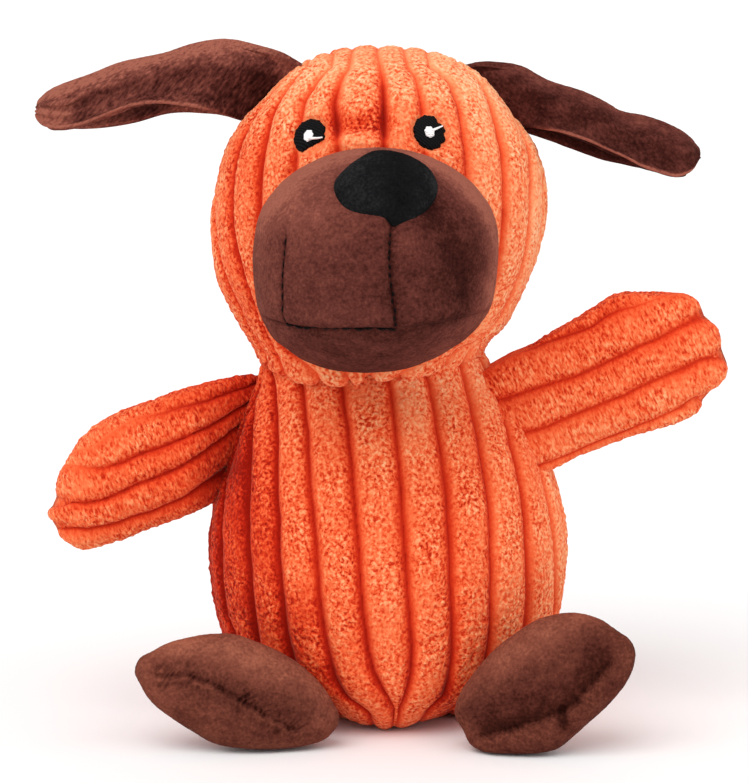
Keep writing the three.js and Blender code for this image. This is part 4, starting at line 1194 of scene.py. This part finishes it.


# tone, root, lining, edge and ridge_tone set the ears' painted light and shade; end makes the tip lighter
EAR = {
    "left": dict(
        ridge=[(322, 74), (303, 64), (282, 52), (255, 43), (230, 39), (200, 42), (162, 52), (137, 58), (114, 64), (85, 76), (54, 87), (41, 97), (37, 107)],
        front=[(268, 122), (244, 119), (228, 114), (206, 108), (183, 104), (160, 101.5), (135, 104), (113, 111), (87, 122), (66, 127), (50, 126), (41, 121.5), (37, 116), (38, 111)],
        rear=[(262, 126), (240, 121), (222, 116), (202, 114), (183, 113), (163, 115), (135, 123), (106, 128), (80, 129.5), (62, 127.5), (52, 122), (45, 116), (41, 111)],
        sign=-1.0, tone=0.10, root=0.28, valley=0.9, lining=0.16, end=0.07, edge=0.95, ridge_tone=0.50),
    "right": dict(
        ridge=[(444, 74), (464, 65), (488, 61), (519, 65), (546, 78), (579, 90), (605, 103), (622, 111), (645, 115), (674, 126), (690, 136), (698, 147), (700, 154)],
        front=[(502, 120), (524, 126), (540, 128), (560, 131), (588, 140), (606, 148), (624, 156), (640, 165), (657, 171), (674, 175), (688, 170), (697, 161), (700, 157)],
        rear=[(508, 128), (531, 135), (548, 141), (571, 149), (590, 156), (605, 161), (622, 164.5), (638, 168), (652, 169.5), (665, 168), (678, 165), (688, 160), (694, 156)],
        sign=1.0, tone=-0.21, root=0.03, valley=0.2, lining=-0.34, end=0.02, edge=1.3, ridge_tone=0.13),
}


def ear_surface(e, s, q):
    """q from -1 (rear edge) through 0 (ridge) to 1 (front edge)"""
    R, F, B = (curve(px_curve(e[k]))(s) for k in ("ridge", "front", "rear"))
    f, r = np.clip(q, 0, 1)[..., None], np.clip(-q, 0, 1)[..., None]
    xz = np.where(q[..., None] >= 0, R + (F - R) * f, R + (B - R) * r)
    root = sstep(0.02, 0.30, s)
    tip = 1 - sstep(0.86, 1.0, s) ** 2
    open_ = (0.35 + 0.65 * root) * (0.15 + 0.85 * tip)
    qf = np.clip(q, 0, 1)
    qr = np.clip(-q, 0, 1)
    # front flap: round over the ridge, slack valley, flared lower edge
    yf = -(6.2 * np.sin(np.clip(qf * 2.2, 0, 1) * math.pi / 2) - e["valley"] * np.exp(-((qf - 0.70) / 0.18) ** 2) * root + 1.5 * sstep(0.78, 1.0, qf) * root)
    yr = 4.8 * np.sin(np.clip(qr * 2.0, 0, 1) * math.pi / 2) + 0.8 * np.sin(qr * 5.0) * root
    y = np.where(q >= 0, yf, yr) * open_
    return np.stack([xz[..., 0], y, xz[..., 1]], -1)


ear_pieces = {}
for side, e in EAR.items():
    nu, nv = 161, 129
    s, q = np.meshgrid(np.linspace(0, 1, nu), np.linspace(-1, 1, nv), indexing="ij")
    sq = np.sign(q) * np.abs(q) ** 1.15
    P = ear_surface(e, s, sq)
    ridge = curve(px_curve(e["ridge"]))(s)
    inside = np.stack([ridge[..., 0], 0 * s, ridge[..., 1] - 9.0], -1)
    nrm = np.cross(np.gradient(P, axis=0), np.gradient(P, axis=1))
    nrm = unit(nrm)
    if np.mean(np.sum(nrm * unit(P - inside), -1)) < 0:
        nrm = -nrm
    seed = 12.0 if side == "left" else 14.0
    slack = 0.55 * N3(P / 13.0 + seed) * sstep(0.05, 0.3, s)
    P = P + nrm * slack[..., None]
    edge = np.minimum(1 - np.abs(q), (1 - s) * 1.6)
    rim = 1 - sstep(0.0, 0.075, edge)
    O, tone = short_pile(P, nrm, seed, 0.10, 0.14)
    O = O + nrm * (0.35 * (1 - sstep(0.02, 0.06, np.abs(edge - 0.03) + 0.02)))[..., None]
    rootdark = 1 - sstep(0.12, 0.55, s)
    bright = np.exp(-((1 - q) / 0.03) ** 2)
    # soft wrinkles run lengthwise where the tip is pinched, with painted light on their crests
    wrinkle = np.sin(sq * 19.0 + 2.4 * N3(P / 9.0)) * np.exp(-((s - 0.82) / 0.15) ** 2) * sstep(0.12, 0.35, sq) * sstep(1.0, 0.85, sq) * (1.0 if side == "left" else 0.25)
    O = O + nrm * (0.55 * wrinkle)[..., None]
    tone = tone + 0.13 * wrinkle
    # painted light: the left ear lighter overall, the rim, a highlight along the front edge and the ridge; painted
    # shade: the right ear darker overall and the root
    tone = tone + e["tone"] + e["end"] * sstep(0.45, 0.85, s) + 0.06 * rim + e["edge"] * bright * sstep(0.12, 0.3, s) * sstep(0.99, 0.93, s) - e["root"] * rootdark * sstep(0.0, 0.5, q) + (0.14 + e["ridge_tone"] * sstep(0.04, 0.40, s)) * np.exp(-(q / 0.28) ** 2)
    # more painted shade on the left ear's lower middle, its root and a crease line, painted light near its tip; a
    # darker spot on the right ear
    if side == "left":
        tone = (tone - 0.14 * sstep(0.38, 0.60, q) * sstep(0.28, 0.48, s) * sstep(0.86, 0.78, s) + 0.42 * sstep(0.78, 0.88, s) * sstep(0.42, 0.66, q)
                - 0.17 * sstep(0.32, 0.18, s) * sstep(0.08, 0.4, q) - 0.18 * np.exp(-((q - 0.40) / 0.10) ** 2) * sstep(0.78, 0.86, s))
    else:
        tone = tone - 0.09 * np.exp(-((q - 0.33) / 0.15) ** 2 - ((s - 0.77) / 0.14) ** 2)
    slim = (1 - 0.55 * rim) * (1 - 0.75 * sstep(0.90, 1.0, s))
    mid = P - nrm * (1.35 * slim)[..., None]
    far = P - nrm * (2.7 * slim)[..., None]
    centre = np.array([float(ridge[nu // 2, 0, 0]), 0.0, float(ridge[nu // 2, 0, 1]) - 11.0])
    ob = shell(f"ear_{side}_outer_ply", O, mid, BROWN_EAR[side], centre, attrs={"tone": np.clip(tone, 0.02, 0.98)})
    keep(ob, [f"ear_{side}_outer_panel"])
    # the lining's tone: painted shade deep in the right ear's fold, painted light on the left lining and its rim, a
    # darker band on the left lining
    L, tone2 = short_pile(far, -nrm, seed + 1, 0.08)
    if side == "left":
        tone2 = tone2 - 0.34 * np.exp(-((P[..., 0] + 66.5) / 5.0) ** 2)
    ob2 = shell(f"ear_{side}_lining", L, mid - nrm * 0.12 * slim[..., None], BROWN_EAR[side], centre, attrs={"tone": np.clip(tone2 + e["lining"] + 0.15 * rim, 0.02, 0.98)})
    # the lining's fine side looks into the fold
    ob2.data.flip_normals()
    keep(ob2, [f"ear_{side}_inner_panel"])
    ear_pieces[side] = (ob, ob2)

# --------------------------------------------------------------------- arms
AL_ = lambda *pts: crop(pts, 6.272, 35, 365)
AR_ = lambda *pts: crop(pts, 5.702, 470, 275)
ARM = {
    "left": dict(
        top=[(285, 386), (260, 380), (239, 378.6), (218.4, 381), (199, 385), (175.3, 391.3), (156, 398.5), (137, 404.5), (118, 412), (103.6, 419.5), (91, 428.8), (81, 438.5),
             (73, 451), (68.5, 462)],
        low=[(255, 488), (236, 497), (213.6, 505.3), (188, 515), (162.6, 524), (143.4, 530), (126, 538), (110, 543), (96, 547.5), (86, 549.6), (77, 547)],
        end=[(0.0, 68.5, 462), (0.10, 61.5, 468), (0.22, 57.0, 479), (0.36, 55.0, 492), (0.43, 56.0, 498.5), (0.46, 56.5, 501), (0.50, 52.0, 505.5), (0.58, 48.2, 513),
             (0.66, 50.5, 520), (0.705, 57.5, 523), (0.75, 56.0, 528), (0.84, 60.0, 535.5), (0.92, 68.0, 542), (1.0, 77.0, 547)],
        grooves=[(AL_((1420, 150), (1330, 180), (1200, 212), (1080, 235), (920, 255), (820, 298), (640, 330), (540, 385), (450, 450), (360, 530)), -0.02),
                 (AL_((1420, 250), (1330, 290), (1200, 360), (1120, 395), (1000, 430), (850, 490), (700, 540), (560, 600), (430, 640), (330, 640)), 0.06),
                 (AL_((1400, 350), (1300, 410), (1180, 490), (1040, 570), (900, 650), (780, 695), (650, 745), (530, 800), (420, 850), (310, 870), (200, 862)), 0.455),
                 (AL_((1320, 620), (1200, 700), (1100, 760), (980, 830), (850, 890), (720, 940), (580, 985), (450, 1020), (330, 1045), (230, 1040)), 0.705)],
        faint=[(0.75, 0.0, 0.38, 0.66), (1.0, 0.15, 0.66, 0.92), (1.0, 1.0, 0.5, 0.9), (1.0, 1.0, 0.5, 0.9)],
        y=[5.0, -8.0], thick=[3.8, 9.6], flat=0.72, seed=16.0, deep=1.9, shade=0.36, begin=(-1.0, -0.5)),
    "right": dict(
        top=[(470, 375), (484, 365.5), (496, 359.5), (522.6, 346), (545.4, 334), (573.5, 319.5), (592.8, 307.8), (606.8, 298.7), (620, 293.4), (642, 292.4), (663, 292), (683, 293)],
        low=[(512, 478), (532, 473), (552, 467.5), (575.2, 457.4), (598, 448), (619, 440), (636, 434), (652.4, 429.3), (667, 425), (680.4, 420.6), (694.5, 414.4)],
        end=[(0.0, 683, 293), (0.09, 694.5, 297.8), (0.19, 701.5, 306.6), (0.235, 702.5, 312.5), (0.28, 711, 320), (0.36, 718.5, 330), (0.46, 722, 343), (0.515, 722.2, 351), (0.53, 722.5, 353),
             (0.58, 727, 361), (0.65, 728.4, 370), (0.73, 723, 381), (0.81, 712, 390.5), (0.865, 704.0, 397.5), (0.92, 702.5, 404), (1.0, 694.5, 414.4)],
        grooves=[(AR_((60, 520), (230, 455), (400, 385), (560, 335), (700, 285), (760, 245), (930, 185), (1070, 135), (1150, 108)), -0.02),
                 (AR_((60, 725), (200, 690), (330, 655), (480, 610), (600, 580), (750, 510), (900, 440), (1050, 375), (1200, 290)), 0.235),
                 (AR_((200, 930), (330, 890), (450, 860), (600, 800), (750, 735), (880, 690), (1000, 630), (1150, 560), (1300, 490)), 0.525),
                 (AR_((280, 1130), (420, 1085), (600, 1030), (740, 965), (900, 900), (1050, 835), (1200, 765), (1300, 710)), 0.865)],
        faint=[(0.9, 0.0, 0.60, 0.90), (1.0, 1.0, 0.5, 0.9), (1.0, 1.0, 0.5, 0.9), (0.9, 0.9, 0.5, 0.9)],
        y=[-8.0, -4.0], thick=[7.6, 8.0], flat=0.46, seed=18.0, deep=1.5, shade=0.32, begin=(0.18, 0.34)),
}


def arm_plan(e):
    """x, z of an arm's middle surface over share of length s and share of width f, with its lobed end"""
    ym = e["y"][1]
    T, L = curve(px_curve(e["top"], ym)), curve(px_curve(e["low"], ym))
    q = np.asarray(e["end"], float)
    ends = px_curve(q[:, 1:], ym)
    ex, ez = pchip(q[:, 0], ends[:, 0]), pchip(q[:, 0], ends[:, 1])
    t1, l1 = T(1.0), L(1.0)

    def plan(s, f):
        line = T(s) * (1 - f[..., None]) + L(s) * f[..., None]
        last = t1 * (1 - f[..., None]) + l1 * f[..., None]
        bulge = np.stack([ex(f), ez(f)], -1) - last
        g = np.clip((s - 0.55) / 0.45, 0, 1) ** 1.7
        return line + bulge * g[..., None], np.linalg.norm(T(s) - L(s), axis=-1) / 2

    return plan


def arm_panel(side, e, front):
    nu, nv = 209, 145
    s, ph = np.meshgrid(np.linspace(0, 1, nu), np.linspace(0, 180, nv), indexing="ij")
    s = 1 - (1 - s) ** 1.25
    plan = arm_plan(e)
    w = np.cos(ph * DEG)
    frac = (1 - w) / 2
    xz, full = plan(s, frac)
    centre_xz, _ = plan(s, np.full_like(s, 0.5))
    grow = sstep(0.0, 0.40, s)
    t = (e["thick"][0] + (e["thick"][1] - e["thick"][0]) * grow) * np.sqrt(np.clip(1 - np.clip((s - 0.74) / 0.26, 0, 1) ** 2.4, 0.0, 1))
    y0 = e["y"][0] + (e["y"][1] - e["y"][0]) * grow
    y = y0 + (-1 if front else 1) * t * np.clip(np.sin(ph * DEG), 0, 1) ** e["flat"]
    P = np.stack([xz[..., 0], y, xz[..., 1]], -1)
    mid = np.stack([centre_xz[..., 0], y0, centre_xz[..., 1]], -1)
    nrm = np.cross(np.gradient(P, axis=0), np.gradient(P, axis=1))
    bad = np.linalg.norm(nrm, axis=-1) < 1e-6
    nrm = unit(nrm)
    if np.mean(np.sum(nrm * unit(P - mid), -1)) < 0:
        nrm = -nrm
    nrm[bad] = unit(P - mid[nu // 2, nv // 2])[bad]
    # both covers turn the same way where they are sewn together
    nrm[..., 1] *= sstep(0.0, 0.30, np.sin(ph * DEG)) * sstep(1.0, 0.97, s)
    nrm = unit(nrm)
    # grooves as shares of the width along the arm
    gs, gf = np.meshgrid(np.linspace(0, 1, 161), np.linspace(0, 1, 121), indexing="ij")
    net, _ = plan(gs, gf)
    net = net.reshape(-1, 2)
    bands = [np.full_like(s, -0.14)]
    for pts, last in e["grooves"]:
        q = []
        for p_ in px_curve(pts, e["y"][1] - 0.85 * e["thick"][1]):
            i = int(np.argmin(np.sum((net - p_) ** 2, -1)))
            q.append((gs.ravel()[i], gf.ravel()[i]))
        q = np.array(sorted(q) + [(1.0, last)])
        bands.append(np.maximum(np.interp(s, q[:, 0], q[:, 1]), bands[-1] + 0.02))
    bands.append(np.maximum(np.full_like(s, 1.14), bands[-1] + 0.02))
    rho = np.zeros_like(s)
    for lo_, hi_ in zip(bands[:-1], bands[1:]):
        rho = rho + np.clip((frac - lo_) / (hi_ - lo_), 0, 1)
    near = np.clip(np.round(rho).astype(int) - 1, 0, len(e["faint"]) - 1)
    f0, f1, s0, s1 = np.moveaxis(np.asarray(e["faint"])[near], -1, 0)
    faint = (f0 + (f1 - f0) * sstep(0, 1, (s - s0) / (s1 - s0))) * np.where(near == 0, sstep(*e["begin"], s), 1.0)
    edge = np.exp(-((90 - np.abs(ph - 90)) * DEG * full / 1.5) ** 2)
    O, tone, tuft, hh = corduroy(P, nrm, rho, e["seed"], depth=e["deep"] * faint, lower=0.6 * edge * sstep(1.0, 0.9, s), arm=True, shade=e["shade"] * faint)
    # painted shade: the left arm darker towards its root and on its lower ribs there, the right arm's top band and root
    # darker; painted light on the right arm's last band
    tone = tone - 0.04 * edge - (0.15 * (1 - sstep(0.12, 0.34, s)) + 0.10 * (1 - sstep(0.30, 0.64, s)) - 0.05 * sstep(0.75, 0.95, s)) * (1.0 if side == "left" else 0.0)
    if side == "right":
        tone = tone - 0.14 * sstep(1.1, 0.9, rho) * sstep(*e["begin"], s) + 0.10 * sstep(3.9, 4.1, rho) - 0.05 * (1 - sstep(0.10, 0.24, s))
    else:
        tone = tone - 0.16 * sstep(0.55, 0.8, frac) * (1 - sstep(0.16, 0.40, s)) - 0.04 * np.exp(-((s - 0.55) / 0.22) ** 2)
    Q = P - nrm * np.minimum(2.6, 0.42 * t + 0.2)[..., None]
    name = f"arm_{side}_{'front' if front else 'back'}_cover"
    ob = shell(name, O, Q, CORD_ARM[side], mid[nu // 2, nv // 2], attrs={"tone": np.clip(tone, 0.02, 0.98), "tuft": tuft}, weld=True)
    return keep(ob, [f"arm_{side}_{'front' if front else 'back'}_panel"])


def arm_pad(side, e):
    """fibre lump inside an arm"""
    s, f = np.meshgrid(np.linspace(0.10, 0.86, 65), np.linspace(0.17, 0.83, 33), indexing="ij")
    xz, _ = arm_plan(e)(s, f)
    grow = sstep(0.0, 0.40, s)
    t = (e["thick"][0] + (e["thick"][1] - e["thick"][0]) * grow) * np.sqrt(np.clip(1 - np.clip((s - 0.74) / 0.24, 0, 1) ** 2.4, 0.0, 1))
    y0 = e["y"][0] + (e["y"][1] - e["y"][0]) * grow
    y = np.maximum(0.62 * t * np.sin(np.arccos(1 - 2 * f)) ** e["flat"] - 1.8, 0.05) * sstep(0.10, 0.2, s) + 0.05
    ob = shell(f"arm_{side}_pad", np.stack([xz[..., 0], y0 - y, xz[..., 1]], -1), np.stack([xz[..., 0], y0 + y, xz[..., 1]], -1), FIBRE,
               np.array([float(xz[32, 16, 0]), float(y0[32, 16]) + 20.0, float(xz[32, 16, 1])]), k=2)
    return keep(ob, [f"arm_{side}_filling"])


arm_pieces = {side: (arm_panel(side, e, True), arm_panel(side, e, False), arm_pad(side, e)) for side, e in ARM.items()}

# --------------------------------------------------------------------- feet
F_ = lambda *pts: crop(pts, 2.904, 120, 600)
FEET = {
    "left": dict(x=-40.2, y=-43.5, toe=(-0.964, -0.05, 0.266), r=(28.6, 14.7, 8.8), tilt=16.0, seed=20.0,
                 outline=F_((43, 208), (55, 172), (100, 145), (180, 113), (270, 98), (330, 99), (400, 122), (490, 165), (570, 230), (615, 292), (637, 342), (622, 378), (572, 412),
                            (500, 437), (400, 444), (330, 432), (250, 402), (150, 343), (95, 300), (62, 252)),
                 crease=F_((60, 212), (140, 220), (200, 224), (250, 240), (300, 265), (350, 295), (400, 325), (450, 352), (510, 374), (560, 372))),
    "right": dict(x=42.0, y=-46.5, toe=(0.869, -0.05, 0.495), r=(27.2, 15.2, 8.8), tilt=22.0, seed=22.0,
                  outline=F_((972, 322), (990, 268), (1030, 210), (1080, 152), (1150, 95), (1220, 54), (1300, 37), (1380, 50), (1440, 86), (1485, 122), (1497, 162), (1480, 222), (1440, 280),
                             (1380, 340), (1300, 408), (1225, 453), (1130, 466), (1075, 463), (1035, 436), (995, 375)),
                  crease=F_((1030, 415), (1070, 395), (1110, 380), (1170, 370), (1230, 350), (1290, 325), (1330, 300), (1370, 255), (1420, 200), (1455, 140))),
}


def foot_frame(e):
    t = e["tilt"] * DEG
    u = unit(np.array(e["toe"]))
    n = np.array([0, -math.cos(t), math.sin(t)])
    n = unit(n - (n @ u) * u)
    v = np.cross(n, u)
    if v[2] < 0:
        v = -v
    L, H, T = e["r"]
    lift = math.sqrt((u[2] * L) ** 2 + (v[2] * H) ** 2 + (n[2] * T) ** 2)
    return u, v, n, np.array([e["x"], e["y"], lift])


def in_plane(px, frame_):
    """coordinates in a foot's middle plane of the points that pixels show"""
    u, v, n, o = frame_
    eye = TARGET - FWD * DIST
    px = np.asarray(px, float)
    d = FWD + ((px[:, 0] - 374.0) / FOCAL_PX)[:, None] * np.array([1.0, 0, 0]) + ((391.5 - px[:, 1]) / FOCAL_PX)[:, None] * UP
    p = eye + d * (((o - eye) @ n) / (d @ n))[:, None] - o
    return p @ u, p @ v


def foot_form(side, e, sole):
    """outline and height of one half of a foot over its middle plane, and its painted shade: darker in the hollow and
    the crease, lighter on the little ridges and the lip
    """
    L, H, T = e["r"]
    fr = foot_frame(e)
    g, k = np.meshgrid(np.linspace(-1, 1, 201), np.linspace(-1, 1, 129), indexing="ij")
    a, b = disc(g, k)
    rad, ang = np.hypot(a, b), np.arctan2(b, a)
    A, B = in_plane(e["outline"], fr)
    pa = np.arctan2(B / H, A / L)
    o = np.argsort(pa)
    pa, pr = pa[o], np.hypot(A / L, B / H)[o]
    pa, pr = np.r_[pa[-3:] - 2 * math.pi, pa, pa[:3] + 2 * math.pi], np.r_[pr[-3:], pr, pr[:3]]
    R = pchip(pa, pr)(ang)
    A, B = L * a * R, H * b * R
    # pillow: nearly flat in the middle, round at the seam
    h = T * np.clip(1 - rad ** 2.6, 0, 1) ** 0.5
    dark = np.zeros_like(a)
    if sole:
        ca, cb = in_plane(e["crease"], fr)
        o = np.argsort(ca)
        q = B - np.interp(A, ca[o], cb[o])
        wob = 1.6 * N3(np.stack([A / 5, B / 5, 0 * A + e["seed"]], -1))
        q = q - 0.8 * N4(np.stack([A / 6, 0 * A, 0 * A + e["seed"]], -1))
        fan = A + 0.45 * q + 0.9 * wob
        # sharp little ridges fanning out from the crease
        streak = (0.75 - 2.0 * np.abs(N1(np.stack([fan / 1.5, q / 6.0, 0 * A + e["seed"]], -1)))
                  - 1.2 * np.abs(N2(np.stack([(A - 0.5 * q) / 1.4, q / 5.0, 0 * A - e["seed"]], -1))))
        most = np.clip(0.75 + 0.7 * N3(np.stack([A / 7, q / 9, 0 * A + 3.1], -1)), 0.2, 1.4)
        span = sstep(1.0, 0.82, rad)
        ends = sstep(ca.min() - 1, ca.min() + 7, A) * sstep(ca.max() + 1, ca.max() - 6, A)
        if side == "left":
            hollow = 1.7 * np.exp(-((q - 0.8) / 5.0) ** 2) + 1.0 * np.exp(-(np.abs(q) / 0.8) ** 1.4) - 0.6 * np.exp(-(np.abs(q + 1.5) / 0.8) ** 1.6)
            fold = 0.90 * streak * most * np.exp(-((q + 0.2) / 3.6) ** 2)
            dark = 0.12 * np.exp(-((q - 0.8) / 5.5) ** 2) + 0.17 * np.exp(-(np.abs(q) / 0.75) ** 1.5) - 0.12 * np.exp(-(np.abs(q + 1.4) / 0.6) ** 1.6) - 0.20 * fold
        else:
            hollow = 3.2 * np.exp(-(np.maximum(q, 0) / 9.0) ** 1.6) * np.exp(-(np.maximum(-q, 0) / 1.4) ** 1.6)
            # a short fold runs from the lip to the seam
            notch = np.exp(-((A - ca[o][5] - 0.25 * q) / 1.3) ** 2) * sstep(-7, -4, q) * sstep(2.0, 0.0, q)
            fold = 0.75 * streak * most * np.exp(-((q + 1.2) / 3.2) ** 2) - 1.1 * notch
            dark = 0.12 * np.exp(-(np.abs(q - 0.4) / 1.1) ** 1.6) + 0.30 * np.exp(-(np.maximum(q - 0.5, 0) / 8.5) ** 1.5) * np.exp(-(np.maximum(0.5 - q, 0) / 1.0) ** 1.5) - 0.18 * fold + 0.06 * notch
        dark = dark * span * ends
        h = h - np.minimum(hollow * span * ends, 0.6 * h) + fold * span * ends * np.clip(h / 4, 0, 1)
    return A, B, h, rad, dark


def rest(z, low):
    """the floor presses the lowest part up softly"""
    return np.maximum(np.where(z < 4, 4 * np.exp((np.minimum(z, 4) - 4) / 4), z) - 0.62 * sstep(6, 2, z), low)


def foot_panel(side, e, sole):
    uu, vv, nn_, o = foot_frame(e)
    A, B, h, rad, dark = foot_form(side, e, sole)
    T, H = e["r"][2], e["r"][1]
    sgn = 1.0 if sole else -1.0
    P = o + A[..., None] * uu + B[..., None] * vv + (sgn * h)[..., None] * nn_
    P = P + (0.30 * N3(P / 12.0 + e["seed"]) * np.clip(h / T, 0, 1))[..., None] * nn_ * sgn
    nrm = unit(np.cross(np.gradient(P, axis=0), np.gradient(P, axis=1)))
    if np.mean(nrm @ (nn_ * sgn)) < 0:
        nrm = -nrm
    O, tone = short_pile(P, nrm, e["seed"] + (0 if sole else 1), 0.10, 0.08)
    # painted light on each foot's top, the left foot also paler at both ends; the hollow's painted shade comes from
    # foot_form
    if side == "left":
        tone = tone + 0.05 + 0.30 * sstep(-0.10, 0.65, B / H) + 0.12 * sstep(12, 21, A) + 0.08 * sstep(-17, -24, A) - dark
    else:
        tone = tone + 0.03 + 0.27 * sstep(0.05, 0.75, B / H) - 0.04 * sstep(-0.45, -0.75, B / H) - dark
    O[..., 2] = rest(O[..., 2], 0.04)
    Q = o + (A * 0.93)[..., None] * uu + (B * 0.90)[..., None] * vv + (sgn * np.maximum(0.74 * h - 0.3, 0.1))[..., None] * nn_
    Q[..., 2] = rest(Q[..., 2], 0.6)
    name = f"foot_{side}_{'sole' if sole else 'upper'}_cover"
    ob = shell(name, O, Q, BROWN_FOOT, o - nn_ * sgn * 20, attrs={"tone": np.clip(tone, 0.02, 0.98)})
    return keep(ob, [f"foot_{side}_{'sole' if sole else 'upper'}_panel"])


def foot_pad(side, e):
    """fibre lump inside a foot, following its hollow"""
    uu, vv, nn_, o = foot_frame(e)
    half = []
    for sole in (True, False):
        A, B, h, rad, dark = foot_form(side, e, sole)
        g = np.maximum(0.62 * h - 0.9, 0.05) * (1 if sole else -1)
        half.append((o + (A * 0.88)[..., None] * uu + (B * 0.84)[..., None] * vv + g[..., None] * nn_)[::4, ::4])
    for q in half:
        q[..., 2] = rest(q[..., 2], 0.9)
    ob = shell(f"foot_{side}_pad", half[0], half[1], FIBRE, o - nn_ * 20, k=2)
    return keep(ob, [f"foot_{side}_filling"])


foot_pieces = {side: (foot_panel(side, e, True), foot_panel(side, e, False), foot_pad(side, e)) for side, e in FEET.items()}

# ---------------------------------------------------- which pieces hang on a body, which stay fixed
J = {j["name"]: j for j in frame["joints"]}


for ob in (body_front, body_pad):
    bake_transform(ob)
for ob in (body_bl, body_br, seat, back_st):
    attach(ob, "torso")
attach(head_pad, "head")
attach(neck_pad, "neck")
for ob in (head_front, head_bl, head_br):
    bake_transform(ob)
for name, ob in pieces.items():
    if name.startswith(("muzzle_", "nose_", "eye_")):
        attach(ob, "head")
for side, sg in (("left", -1), ("right", 1)):
    p = np.array(J[f"ear_{side}_flap"]["pos_m"]) / MM
    for ob in ear_pieces[side]:
        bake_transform(ob)
    p = np.array(J[f"arm_{side}_swing"]["pos_m"]) / MM
    for ob in arm_pieces[side]:
        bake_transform(ob)
    p = np.array(J[f"foot_{side}_splay"]["pos_m"]) / MM
    for ob in foot_pieces[side]:
        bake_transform(ob)

# the inner pieces keep their CAD shape, with finished materials
for name, ob in frame["nodes"].items():
    if ob.hide_render:
        continue
    mat = FIBRE if "filling" in name else PLASTIC if "squeaker" in name else THREAD_ORANGE
    ob.data.materials.clear()
    ob.data.materials.append(mat)

# ----------------------------------------------------------- floor and light
me = bpy.data.meshes.new("floor")
me.from_pydata([(-80, -80, 0), (80, -80, 0), (80, 80, 0), (-80, 80, 0)], [], [(0, 1, 2, 3)])
floor = bpy.data.objects.new("floor", me)
bpy.context.scene.collection.objects.link(floor)
fm, nodes, links, bsdf = new_material("pale_floor")
bsdf.inputs["Base Color"].default_value = (0.95, 0.95, 0.95, 1)
bsdf.inputs["Roughness"].default_value = 0.9
bsdf.inputs["Specular IOR Level"].default_value = 0.1
me.materials.append(fm)

world = bpy.data.worlds.new("studio")
world.use_nodes = True
world.node_tree.nodes["Background"].inputs["Color"].default_value = (1.0, 1.0, 1.0, 1.0)
world.node_tree.nodes["Background"].inputs["Strength"].default_value = 0.72
bpy.context.scene.world = world


def soft_sun(name, towards, strength, angle, colour=(1, 1, 1)):
    """broad distant light shining along the given direction"""
    from mathutils import Vector
    d = bpy.data.lights.new(name, "SUN")
    d.energy, d.angle, d.color = strength, angle * DEG, colour
    o = bpy.data.objects.new(name, d)
    bpy.context.scene.collection.objects.link(o)
    o.rotation_euler = Vector(towards).to_track_quat("-Z", "Y").to_euler()
    return o


soft_sun("key", (0.34, 0.58, -0.78), 1.60, 55, (1.0, 0.99, 0.98))
soft_sun("fill", (-0.70, 0.62, -0.40), 0.60, 70, (0.99, 0.99, 1.0))
bpy.context.scene.view_settings.view_transform = "Standard"
